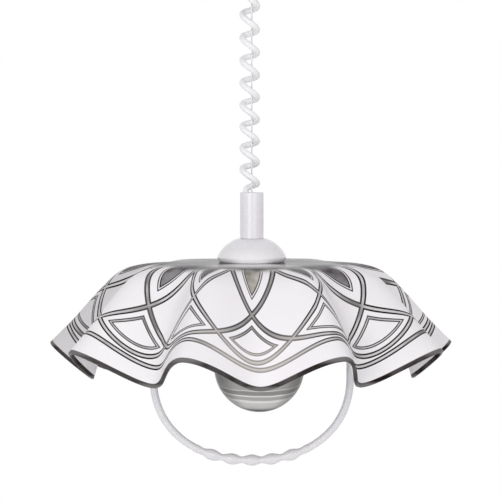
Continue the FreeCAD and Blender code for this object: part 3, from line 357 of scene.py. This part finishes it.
def globe_glass():
    """Smoke grey glass with painted reflections in soft rings round the ball, and painted shade to its left
    and right.
    """
    sheet = Sheet("lamp_globe_glass")
    low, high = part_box("lamp_globe")
    shift = sheet.node("ShaderNodeVectorMath", operation="SUBTRACT")
    sheet.feed(sheet.place(), shift.inputs[0])
    shift.inputs[1].default_value = ((low[0] + high[0]) / 2, (low[1] + high[1]) / 2, low[2] + GLOBE_R)
    along = sheet.node("ShaderNodeVectorMath", operation="DOT_PRODUCT")
    sheet.feed(shift.outputs[0], along.inputs[0])
    along.inputs[1].default_value = (0, -math.sin(GLOBE_TILT) / GLOBE_R, math.cos(GLOBE_TILT) / GLOBE_R)
    waver = sheet.uneven(sheet.noise(30, 2), -0.012, 0.012)
    height = sheet.math("ADD", along.outputs["Value"], waver)
    # painted reflections: rings of brightness round the ball
    ramp = sheet.node("ShaderNodeValToRGB")
    points = ramp.color_ramp.elements
    for level, grey in GLOBE_REFLECTION_RINGS:
        point = points.new(0.5 + 0.5 * level) if level > -1 else points[0]
        point.position = 0.5 + 0.5 * level
        point.color = (grey, grey * 0.985, grey * 0.96, 1)
    points[-1].color = points[-2].color
    sheet.feed(sheet.spread(height, -1, 1, 0, 1), ramp.inputs[0])
    x, y, _ = sheet.parts(shift.outputs[0])
    aside = sheet.math("DIVIDE", sheet.size(x), sheet.most(sheet.length(x, y), 1e-4))
    # painted shade towards the ball's left and right
    side_shade = sheet.rise(aside, GLOBE_SIDE_SHADE_FROM, GLOBE_SIDE_SHADE_TO, GLOBE_SIDE_SHADE_SHARE)
    sheet.set(Base_Color=sheet.blend(side_shade, ramp.outputs[0], GLOBE_SIDE_SHADE))
    sheet.set(Roughness=sheet.uneven(sheet.noise(50, 2), 0.16, 0.24), IOR=1.12)
    sheet.bump(sheet.noise(500, 2), 0.02)
    return sheet.material


METAL = {"metal": 1}
SMOOTH = {"depth": 0.03, "fine": 700}
PLAIN_FINISHES = (  # name, two colours, grain, range of roughness, and what differs from a plain surface
    ("zinc_steel", (0.56, 0.57, 0.58), (0.46, 0.47, 0.49), 90, (0.28, 0.45), METAL),
    ("screw_steel", (0.62, 0.62, 0.62), (0.5, 0.5, 0.51), 200, (0.2, 0.35), METAL),
    ("spring_steel", (0.30, 0.33, 0.40), (0.22, 0.24, 0.3), 150, (0.2, 0.3), METAL),
    ("white_plastic", (0.86, 0.845, 0.87), (0.82, 0.805, 0.835), 60, (0.3, 0.42), SMOOTH),
    ("terminal_plastic", (0.78, 0.76, 0.7), (0.72, 0.7, 0.64), 80, (0.4, 0.5), {}),
    ("holder_plastic", (0.80, 0.785, 0.8), (0.74, 0.73, 0.75), 80, (0.3, 0.4), {}),
    ("drum_plastic", (0.10, 0.11, 0.12), (0.07, 0.075, 0.08), 80, (0.35, 0.5), {}),
    ("brake_felt", (0.22, 0.21, 0.19), (0.12, 0.11, 0.10), 900, (0.9, 1.0), {"depth": 0.9, "fine": 2600}),
    ("gasket_rubber", (0.62, 0.60, 0.58), (0.5, 0.48, 0.46), 120, (0.6, 0.75), {"depth": 0.3}),
    ("cord_sheath", (0.93, 0.92, 0.94), (0.90, 0.89, 0.91), 120, (0.34, 0.46), SMOOTH),
    ("lead_insulation", (0.3, 0.12, 0.05), (0.24, 0.09, 0.04), 300, (0.35, 0.5), {}),
    ("wire_rope", (0.8, 0.8, 0.81), (0.66, 0.66, 0.68), 600, (0.3, 0.45),
     {"depth": 0.2, "fine": 4000, **METAL}),
    ("screw_shell_brass", (0.75, 0.58, 0.3), (0.66, 0.5, 0.25), 200, (0.2, 0.35), METAL),
    ("lamp_cap_metal", (0.72, 0.71, 0.69), (0.6, 0.59, 0.57), 200, (0.2, 0.35), METAL),
    ("lamp_black_glass", (0.02, 0.02, 0.02), (0.04, 0.03, 0.05), 300, (0.1, 0.2), {}),
    ("lamp_solder", (0.55, 0.55, 0.54), (0.42, 0.42, 0.42), 800, (0.3, 0.5), {"depth": 0.4, **METAL}),
    ("lamp_stem_glass", (0.9, 0.92, 0.92), (0.85, 0.88, 0.88), 100, (0.05, 0.1), {"through": 0.8}),
)
finishes = {"white_enamel": enamel(), "lamp_globe_glass": globe_glass()}
for name, colour, other, grain, rough, extras in PLAIN_FINISHES:
    finishes[name] = surface(name, colour, other, grain, rough, **extras)


# ---- shade ----------------------------------------------------------------------------------------------
FLARES = (26, 66, 100, 143, 182, 222, 263, 300, 341)  # outward folds, degrees from the front to the right
LOBES = (3, 41, 84, 122, 162, 202, 243, 281, 324)  # hanging folds
PRINT_FLARES = (23, 66, 102, 143, 182, 222, 263, 300, 341)  # where the print turns with the folds
PRINT_LOBES = (0, 40, 80, 122, 162, 202, 243, 284, 324)
FLARE_CURVE = ((38, 0), (62, 0), (89, 0.4), (114, 2.4), (134.5, 7.6), (148.5, 17), (168.5, 37.5), (190.5, 62),
               (214.7, 86))  # mm from the axis, and mm below the top
LOBE_CURVE = ((38, 0), (62, 0), (87, 1), (106, 6), (121, 19), (133, 34), (146, 52.5), (160, 80), (172, 119))
FOLD_STEP = 360 / (len(PRINT_FLARES) + len(PRINT_LOBES))  # degrees of the flat print per fold
PRINT_STRAIGHT_TO, PRINT_FOLDED_FROM = 60, 150  # mm along the glass
GLASS_TOP = -375.3
GLASS_WALL = 4.0
RIM_ROUND = 0.9  # mm that the middle of the cut edge stands out
GLASS_HOLE_R = 21.0
SHADE_COLUMNS = 540
SHADE_RINGS = 72
HUB_RINGS = 5


def ease(t):
    return t * t * (3 - 2 * t)


def fold_at(degrees, flares, lobes):
    """Which fold an angle lies past, how far towards the next, and the share of the hanging lobe there."""
    folds = sorted([(a, 0.0) for a in flares] + [(a, 1.0) for a in lobes])
    angles = [a for a, w in folds] + [folds[0][0] + 360]
    degrees = angles[0] + (degrees - angles[0]) % 360
    i = int(np.searchsorted(angles, degrees, side="right")) - 1
    t = (degrees - angles[i]) / (angles[i + 1] - angles[i])
    a, b = folds[i][1], folds[(i + 1) % len(folds)][1]
    return i + t, a + (b - a) * ease(t)


def smooth_line(points, count):
    """Points at even steps along a smooth curve through the given ones."""
    points = np.array(points, float)
    n = len(points)
    tangents = np.gradient(points, axis=0)
    fine = []
    for i in range(n - 1):
        for t in np.linspace(0, 1, 24, endpoint=i == n - 2):
            fine.append(ease(1 - t) * points[i] + t * (1 - t) ** 2 * tangents[i]
                        + ease(t) * points[i + 1] - t * t * (1 - t) * tangents[i + 1])
    fine = np.array(fine)
    length = np.concatenate([[0], np.cumsum(np.linalg.norm(np.diff(fine, axis=0), axis=1))])
    even = np.linspace(0, length[-1], count)
    return np.stack([np.interp(even, length, fine[:, k]) for k in (0, 1)], axis=1), even


def shade_points():
    """The outer skin in mm, its place on the flat print and its distance from the rim."""
    hub = np.linspace(GLASS_HOLE_R, FLARE_CURVE[0][0], HUB_RINGS, endpoint=False)
    outer, flat, rim = [], [], []
    for column in range(SHADE_COLUMNS):
        degrees = 360 * column / SHADE_COLUMNS
        w = fold_at(degrees, FLARES, LOBES)[1]
        points = [np.add(np.multiply(flare, 1 - w), np.multiply(lobe, w))
                  for flare, lobe in zip(FLARE_CURVE, LOBE_CURVE)]
        curve, arc = smooth_line(points, SHADE_RINGS)
        radius = np.concatenate([hub, curve[:, 0]])
        drop = np.concatenate([np.zeros(HUB_RINGS), curve[:, 1]])
        along = np.concatenate([hub, arc + FLARE_CURVE[0][0]])
        a = math.radians(degrees)
        outer.append(np.stack([radius * math.sin(a), -radius * math.cos(a), GLASS_TOP - drop], axis=1))
        slip = (FOLD_STEP * fold_at(degrees, PRINT_FLARES, PRINT_LOBES)[0] - degrees + 180) % 360 - 180
        folded = (along - PRINT_STRAIGHT_TO) / (PRINT_FOLDED_FROM - PRINT_STRAIGHT_TO)
        phi = np.radians(degrees + slip * ease(np.clip(folded, 0, 1)))
        flat.append(np.stack([along * np.cos(phi), along * np.sin(phi)], axis=1))
        rim.append(along[-1] - along)
    return np.array(outer), np.array(flat), np.array(rim)


def shade_mesh():
    """The draped glass: outer skin, inner skin one wall under it, cut edge and the hole in its hub."""
    outer, flat, rim = shade_points()
    around = np.roll(outer, -1, axis=0) - np.roll(outer, 1, axis=0)
    down = np.gradient(outer, axis=1)
    normal = np.cross(around, down)
    normal /= np.linalg.norm(normal, axis=2)[:, :, None]
    normal[normal[:, :, 2] > 0] *= -1
    inner = outer + normal * GLASS_WALL
    out = down[:, -1] / np.linalg.norm(down[:, -1], axis=1)[:, None]
    rim_middle = (outer[:, -1] + inner[:, -1]) / 2 + out * RIM_ROUND
    vertices = np.concatenate([outer.reshape(-1, 3), inner.reshape(-1, 3), rim_middle]) * MM
    faces, parts = [], []
    count = SHADE_RINGS + HUB_RINGS
    skin = SHADE_COLUMNS * count
    for c in range(SHADE_COLUMNS):
        d = (c + 1) % SHADE_COLUMNS
        for r in range(count - 1):
            quad = (c * count + r, c * count + r + 1, d * count + r + 1, d * count + r)
            faces += [quad, tuple(skin + v for v in quad[::-1])]
            parts += [0, 1]
        faces.append((c * count, d * count, skin + d * count, skin + c * count))
        low, under, middle, beside = c * count + count - 1, d * count + count - 1, 2 * skin + c, 2 * skin + d
        faces += [(low, middle, beside, under), (middle, skin + low, skin + under, beside)]
        parts += [2, 2, 2]
    mesh = mesh_of("glass_shade_draped", vertices, faces)
    mesh.polygons.foreach_set("material_index", parts)
    both = np.concatenate([flat.reshape(-1, 2)] * 2 + [flat[:, -1]])
    edge = np.concatenate([rim.reshape(-1)] * 2 + [rim[:, -1]])
    disc = mesh.attributes.new("disc", "FLOAT_VECTOR", "POINT")
    disc.data.foreach_set("vector", np.concatenate([both, edge[:, None]], axis=1).astype(np.float32).ravel())
    return mesh


PETALS = 15
PETAL_MIDDLE = 125.8  # mm from the hub along the glass
PETAL_HALF_LENGTH = 87.2
PETAL_HALF_WIDTH = 67.8


def petal_group():
    """How far a point of the flat print is outside a petal's outline, in mm."""
    group = bpy.data.node_groups.new("petal", "ShaderNodeTree")
    for name in ("distance", "angle"):
        group.interface.new_socket(name, in_out="INPUT", socket_type="NodeSocketFloat")
    group.interface.new_socket("outside", in_out="OUTPUT", socket_type="NodeSocketFloat")
    petal = Nodes(group)
    distance, angle = petal.node("NodeGroupInput").outputs[:2]
    x = petal.math("SUBTRACT", petal.times(distance, petal.math("COSINE", angle)), PETAL_MIDDLE)
    y = petal.times(distance, petal.math("SINE", angle))
    u, v = petal.math("DIVIDE", x, PETAL_HALF_LENGTH), petal.math("DIVIDE", y, PETAL_HALF_WIDTH)
    reach = petal.length(u, v)
    slope = petal.length(petal.math("DIVIDE", u, PETAL_HALF_LENGTH),
                         petal.math("DIVIDE", v, PETAL_HALF_WIDTH))
    outside = petal.math("DIVIDE", petal.times(petal.math("SUBTRACT", reach, 1.0), reach), slope)
    petal.feed(outside, petal.node("NodeGroupOutput").inputs[0])
    return group


def petals_at(sheet, along, turn):
    """How far the nearest petal's outline is, in mm, and how many petals cover a point."""
    repeat = 2 * math.pi / PETALS
    steps = sheet.math("ROUND", sheet.math("DIVIDE", turn, repeat))
    phi = sheet.math("SUBTRACT", turn, sheet.times(steps, repeat))
    group = petal_group()
    distances, covers = [], []
    for k in range(-2, 3):
        petal = sheet.node("ShaderNodeGroup", node_tree=group)
        sheet.feed(along, petal.inputs[0])
        sheet.feed(sheet.math("SUBTRACT", phi, k * repeat), petal.inputs[1])
        distances.append(sheet.size(petal.outputs[0]))
        covers.append(sheet.math("LESS_THAN", petal.outputs[0], 0.0))
    return sheet.chain("MINIMUM", *distances), sheet.chain("ADD", *covers)


GARLAND = 220.0  # mm along the glass: the ring that runs through the petals' ends near the rim
STRIPE_HALF = 1.2  # of the light core
LINE = 1.45  # the dark line on each side of it
DIAMOND_INSET = 8.6  # mm from the petal's curve to the diamond's outline
OUTLINE_HALF = 0.7
OUTLINE_LINE = 0.9
TONGUE_INSET = 10.0  # mm from the petal's curve to the first of a tongue's two lines
TONGUE_STEP = 2.0  # mm from the first to the second
TONGUE_LINE = 0.9
TONGUE_COUNT = 3  # petals that cover a tongue; more cover the clear glass next to the hub
HUB_FADE = (93, 110)  # mm along the glass: the lines run out towards the clear hub


def shade_print(sheet, along, turn):
    """Shares of the dark lines, the bands' light core and the clear glass, and where lines are drawn."""
    nearest, cover = petals_at(sheet, along, turn)
    band = sheet.math("MINIMUM", nearest, sheet.size(sheet.math("SUBTRACT", along, GARLAND)))
    core = sheet.fall(band, STRIPE_HALF - 0.1, STRIPE_HALF + 0.2)
    dark = sheet.line(band, STRIPE_HALF + LINE / 2, LINE)
    one_petal = sheet.math("COMPARE", cover, 1.0, 0.5)
    diamond = sheet.times(one_petal, sheet.math("LESS_THAN", along, GARLAND))
    tongue = sheet.math("COMPARE", cover, float(TONGUE_COUNT), 0.5)
    step = OUTLINE_HALF + OUTLINE_LINE / 2
    outline = sheet.most(sheet.line(nearest, DIAMOND_INSET - step, OUTLINE_LINE),
                         sheet.line(nearest, DIAMOND_INSET + step, OUTLINE_LINE))
    between = sheet.line(nearest, DIAMOND_INSET, 2 * OUTLINE_HALF)
    inset = TONGUE_INSET + TONGUE_STEP
    tongue_lines = sheet.most(sheet.line(nearest, TONGUE_INSET, TONGUE_LINE),
                              sheet.line(nearest, inset, TONGUE_LINE))
    drawn = sheet.rise(along, *HUB_FADE)
    dark = sheet.most(dark, sheet.times(outline, diamond), sheet.times(tongue_lines, tongue))
    dark = sheet.times(dark, drawn, sheet.math("LESS_THAN", cover, TONGUE_COUNT + 0.5))
    core = sheet.most(core, sheet.times(between, diamond))
    clear = sheet.most(sheet.times(sheet.math("GREATER_THAN", nearest, inset), tongue),
                       sheet.math("GREATER_THAN", cover, TONGUE_COUNT + 0.5),
                       sheet.math("SUBTRACT", 1.0, drawn))
    return dark, sheet.times(core, sheet.math("SUBTRACT", 1.0, clear)), clear, drawn


# Angles are radians from the front to the right, places are mm along the glass.
LIT = (0.1, 0.42)  # to both sides: the globe lights the glass in the middle
LIT_LOW, LIT_LOW_SHARE = (180, 215), 0.85  # the lines fade there
PATCHY = (0.46, 0.68)  # noise levels between which a band's core turns grey
LIT_PATCHY = 0.75  # how grey it is in the middle
FAR_LEFT, FAR_LEFT_SHARE = (-2.1, -1.85, -1.62, -1.46), 0.55  # painted shade: that fold hangs in its own shade
MIRROR, MIRROR_SIDE, MIRROR_SHARE = (60, 98), (0.3, 0.8), 0.9  # the dome, mirrored in the glass before it
STREAKS = 9  # across the clear glass
STREAK_CHANGE = 0.006  # per mm along the glass
FIELD = ((0.92, 0.89, 0.925), (0.95, 0.925, 0.945))
# painted shade on the white of the far left fold
FIELD_FAR_LEFT_SHADE = (0.50, 0.49, 0.50)
CORE, CORE_GREY, CORE_LIT = (0.66, 0.64, 0.65), (0.24, 0.23, 0.23), (0.66, 0.63, 0.61)
INK, INK_GREY, INK_LIT = (0.012, 0.010, 0.010), (0.10, 0.092, 0.092), (0.40, 0.38, 0.36)
TONGUE_SHADE = ((0.13, 0.115, 0.13), (0.42, 0.40, 0.42))  # clear glass, with its streaks, darkened by painted shade of the inside seen through it
TONGUE_LIT = ((0.38, 0.35, 0.31), (0.80, 0.76, 0.70))
# painted shade: the clear glass round the dome, dark with the shaded inside and surroundings it shows
CROWN_SHADE = ((0.11, 0.105, 0.11), (0.21, 0.20, 0.205))
CROWN_MIRROR = (0.86, 0.84, 0.86)
EDGE_BAND = 3.4  # mm of the skin beside the cut edge that look like it
RIM_DARK = (-0.4935, -0.489, -0.467, -0.461)  # metres: the cut edge is darkest between these levels
RIM_GREY, RIM_BLACK = (0.19, 0.18, 0.18), (0.014, 0.009, 0.008)


def rim_colour(sheet):
    """The cut edge: near black where it climbs, grey at the lobes' lowest and the flares' ends."""
    z = sheet.parts(sheet.place())[2]
    climbs = sheet.times(sheet.rise(z, *RIM_DARK[:2]), sheet.fall(z, *RIM_DARK[2:]))
    dark = sheet.times(climbs, sheet.spread(sheet.noise(35, 3), 0.35, 0.6, 0.55, 1))
    return sheet.blend(dark, RIM_GREY, RIM_BLACK)


def clear_glass(sheet, along, turn, middle, drawn):
    """Streaky clear glass with painted light and shade: lighter in the middle, dark with painted shade round
    the dome, and a painted reflection of the dome.
    """
    rays = sheet.node("ShaderNodeCombineXYZ")
    for socket, value in zip(rays.inputs, (sheet.math("COSINE", turn), sheet.math("SINE", turn),
                                           sheet.times(along, STREAK_CHANGE))):
        sheet.feed(value, socket)
    streak = sheet.spread(sheet.noise(STREAKS, 2, rays.outputs[0]), 0.35, 0.65, 0, 1)
    mirrored = sheet.times(sheet.fall(along, *MIRROR, MIRROR_SHARE),
                           sheet.fall(sheet.size(turn), *MIRROR_SIDE))
    crown = sheet.blend(mirrored, sheet.blend(streak, *CROWN_SHADE), CROWN_MIRROR)
    tongues = sheet.blend(middle, sheet.blend(streak, *TONGUE_SHADE), sheet.blend(streak, *TONGUE_LIT))
    return sheet.blend(drawn, crown, tongues)


def shade_material():
    """White print on clear grey glass: interlaced petals, diamonds between them and a ring round the rim; the
    clear glass carries painted light, shade and reflection.
    """
    sheet = Sheet("shade_glass")
    x, y, from_rim = sheet.parts(sheet.node("ShaderNodeAttribute", attribute_name="disc").outputs["Vector"])
    along, turn = sheet.length(x, y), sheet.math("ARCTAN2", y, x)
    dark, core, clear, drawn = shade_print(sheet, along, turn)
    middle = sheet.fall(sheet.size(turn), *LIT)
    faded = sheet.times(middle, sheet.rise(along, *LIT_LOW, LIT_LOW_SHARE))
    patch = sheet.most(sheet.rise(sheet.noise(24, 2), *PATCHY), sheet.times(middle, LIT_PATCHY))
    far_left_shade = sheet.times(sheet.fall(turn, *FAR_LEFT[2:]), sheet.rise(turn, *FAR_LEFT[:2], FAR_LEFT_SHARE))
    cloud = sheet.noise(14, 4)
    field = sheet.blend(far_left_shade, sheet.mottled(cloud, *FIELD), FIELD_FAR_LEFT_SHADE)
    colour = sheet.blend(clear, field, clear_glass(sheet, along, turn, middle, drawn))
    colour = sheet.blend(core, colour, sheet.blend(faded, sheet.blend(patch, CORE, CORE_GREY), CORE_LIT))
    colour = sheet.blend(dark, colour, sheet.blend(faded, sheet.blend(patch, INK, INK_GREY), INK_LIT))
    colour = sheet.blend(sheet.fall(from_rim, EDGE_BAND - 0.2, EDGE_BAND + 0.4), colour, rim_colour(sheet))
    sheet.set(Base_Color=colour, Roughness=sheet.uneven(cloud, 0.14, 0.22))
    sheet.set(Transmission_Weight=sheet.times(clear, drawn, 0.35), IOR=1.06)
    sheet.bump(sheet.noise(60, 3), 0.05, 0.001)
    return sheet.material


def rim_material():
    sheet = Sheet("shade_rim")
    streak = sheet.noise(120, 4)
    sheet.set(Base_Color=rim_colour(sheet), Roughness=sheet.uneven(streak, 0.12, 0.3), IOR=1.15)
    sheet.bump(streak, 0.1, 0.0005)
    return sheet.material


shade = add_object("glass_shade_draped", shade_mesh())
pattern = shade_material()
for material in (pattern, pattern, rim_material()):  # outer skin, inner skin, cut edge
    shade.data.materials.append(material)
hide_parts("glass_shade")
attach(shade, "lamp")


# ---- pull handle ----------------------------------------------------------------------------------------
HANDLE_ROD_R = 4.0
HANDLE_HALF_WIDTH = 103.5
HANDLE_ARM_Z = -386.1
HANDLE_WIDEST_DROP = 110.0
HANDLE_WIDEST_Z = HANDLE_ARM_Z - HANDLE_WIDEST_DROP
HANDLE_BOW_DEPTH = 88.0
HANDLE_FULLNESS = 2.2  # 2 is an ellipse, more is fuller
HANDLE_SHOULDER_R = 38.0
HANDLE_HUB_R = 15.0
HANDLE_HUB = (-390.1, -382.1)
HANDLE_HUB_BORE_R = 5.3
HANDLE_OVERLAP = 1.0  # that the rod starts inside the hub
SHOULDER_DROP = 42.0
SHOULDER_STEPS = 24
BOW_STEPS = 120
HANDLE_STEP = 1.2  # mm between rings of the mesh
BEADS = 5
BEAD_PITCH = 20.9
BEAD_R = 6.0
BEAD_ROUND = 0.8  # less makes the beads fuller
NECK_R = 3.5
GRIP_FADE = (-0.1, 0.4)  # beads past the grip's end, in which it turns into the plain rod


def handle_line():
    """The handle's middle line from the hub out, down and round to its lowest point, at even steps."""
    corner = np.array((HANDLE_HALF_WIDTH, HANDLE_ARM_Z - SHOULDER_DROP))
    start = np.array((HANDLE_HUB_R - HANDLE_OVERLAP, HANDLE_ARM_Z))
    into = (corner - start) / np.linalg.norm(corner - start)
    turn = math.acos(-into[1])
    first = corner - into * HANDLE_SHOULDER_R * math.tan(turn / 2)
    centre = first + np.array((into[1], -into[0])) * HANDLE_SHOULDER_R
    spoke = math.atan2(*(first - centre)[::-1])
    line = [start]
    for i in range(SHOULDER_STEPS + 1):
        a = spoke - turn * i / SHOULDER_STEPS
        line.append(centre + HANDLE_SHOULDER_R * np.array((math.cos(a), math.sin(a))))
    for i in range(1, BOW_STEPS + 1):
        x = HANDLE_HALF_WIDTH * math.cos(math.pi / 2 * i / BOW_STEPS)
        reach = (1 - (x / HANDLE_HALF_WIDTH) ** HANDLE_FULLNESS) ** (1 / HANDLE_FULLNESS)
        line.append(np.array((x, HANDLE_WIDEST_Z - HANDLE_BOW_DEPTH * reach)))
    line = np.array(line)
    length = np.concatenate([[0], np.cumsum(np.linalg.norm(np.diff(line, axis=0), axis=1))])
    even = np.linspace(0, length[-1], int(length[-1] / HANDLE_STEP))
    return np.stack([np.interp(even, length, line[:, k]) for k in (0, 1)], axis=1)


def handle_radius(x):
    """The rod's radius at a place of the lower half: beads in the grip, a plain rod beside it."""
    place = x / BEAD_PITCH
    bead = NECK_R + (BEAD_R - NECK_R) * (0.5 + 0.5 * math.cos(2 * math.pi * place)) ** BEAD_ROUND
    past = abs(place) - BEADS / 2
    beside = min(1, max(0, (past - GRIP_FADE[0]) / (GRIP_FADE[1] - GRIP_FADE[0])))
    return bead + (HANDLE_ROD_R - bead) * beside


def pull_handle():
    right = handle_line()
    line = np.concatenate([right, right[-2::-1] * (-1, 1)])
    path = np.stack([line[:, 0], np.zeros(len(line)), line[:, 1]], axis=1) * MM
    radii = [handle_radius(x) * MM if z < HANDLE_WIDEST_Z else HANDLE_ROD_R * MM for x, z in line]
    return sweep("pull_handle", path, radii, around=24)


def ring_mesh(name, profile, around=96):
    """A closed outline in mm turned about Z."""
    count = len(profile)
    vertices, faces = [], []
    for i in range(around):
        a = 2 * math.pi * i / around
        vertices += [(r * math.cos(a) * MM, r * math.sin(a) * MM, z * MM) for r, z in profile]
        b, c = i * count, (i + 1) % around * count
        faces += [(b + k, c + k, c + (k + 1) % count, b + (k + 1) % count) for k in range(count)]
    return mesh_of(name, vertices, faces)


def rounded_ring(bore, outer, low, high, edge=1.0, steps=6):
    """A ring's outline with four rounded edges."""
    corners = ((outer - edge, low + edge), (outer - edge, high - edge), (bore + edge, high - edge),
               (bore + edge, low + edge))
    outline = []
    for quarter, (r, z) in enumerate(corners):
        for i in range(steps + 1):
            a = math.pi / 2 * (quarter - 1 + i / steps)
            outline.append((r + edge * math.cos(a), z + edge * math.sin(a)))
    return outline


handle = add_object("pull_handle", pull_handle())
hub_outline = rounded_ring(HANDLE_HUB_BORE_R, HANDLE_HUB_R, *HANDLE_HUB)
handle_hub = add_object("pull_handle_hub", ring_mesh("pull_handle_hub", hub_outline))
for piece in (handle, handle_hub):
    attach(piece, "lamp")
    piece.data.materials.append(finishes["white_plastic"])
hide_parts("handle_bow")
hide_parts("handle_bow")


# ---- finishes on what is left ---------------------------------------------------------------------------
curly.data.materials.append(finishes["cord_sheath"])
rope.data.materials.append(finishes["wire_rope"])
record_slots = {part["node"]: part["material_slot"] for part in frame["record"]["subparts"]}
for name, node in frame["nodes"].items():
    slot = record_slots[name]
    if slot in finishes:
        node.data.materials.clear()
        node.data.materials.append(finishes[slot])


# ---- floor, backdrop and light --------------------------------------------------------------------------
FLOOR_Z = -0.75
FLOOR_HALF = 60.0
PAPER_GLOW = 1.04
PAPER_GLOW_SHARE = 0.9  # the rest takes the object's shadow
WORLD_LIGHT = 0.66  # on the object; the camera sees the backdrop white


def paper():
    """Pale paper that looks white to the camera and keeps a part of the object's shadow."""
    sheet = Sheet("paper")
    sheet.set(Base_Color=(0.95, 0.95, 0.95, 1), Roughness=0.9)
    glow = sheet.node("ShaderNodeEmission")
    glow.inputs["Strength"].default_value = PAPER_GLOW
    mix = sheet.node("ShaderNodeMixShader")
    sheet.feed(sheet.times(sheet.seen(), PAPER_GLOW_SHARE), mix.inputs[0])
    sheet.feed(sheet.shader.outputs[0], mix.inputs[1])
    sheet.feed(glow.outputs[0], mix.inputs[2])
    sheet.feed(mix.outputs[0], sheet.tree.nodes["Material Output"].inputs["Surface"])
    return sheet.material


floor_corners = [(x * FLOOR_HALF, y * FLOOR_HALF, FLOOR_Z) for x, y in ((-1, -1), (1, -1), (1, 1), (-1, 1))]
floor = add_object("floor", mesh_of("floor", floor_corners, [(0, 1, 2, 3)], smooth=False))
floor.data.materials.append(paper())

world = bpy.data.worlds.new("studio")
bpy.context.scene.world = world
world.use_nodes = True
backdrop = Nodes(world.node_tree)
background = backdrop.tree.nodes["Background"]
background.inputs["Color"].default_value = (1, 1, 1, 1)
backdrop.feed(backdrop.spread(backdrop.seen(), 0, 1, WORLD_LIGHT, 1), background.inputs["Strength"])


def soft_light(name, place, size, power):
    """A square light that faces the hub."""
    lamp = bpy.data.lights.new(name, "AREA")
    lamp.size = size
    lamp.energy = power
    light = add_object(name, lamp)
    light.location = place
    light.rotation_euler = (HUB - Vector(place)).to_track_quat("-Z", "Y").to_euler()


soft_light("key", place=(-1.1, -2.8, -0.1), size=1.6, power=24)
soft_light("fill", place=(1.3, -2.6, -0.5), size=1.6, power=13)
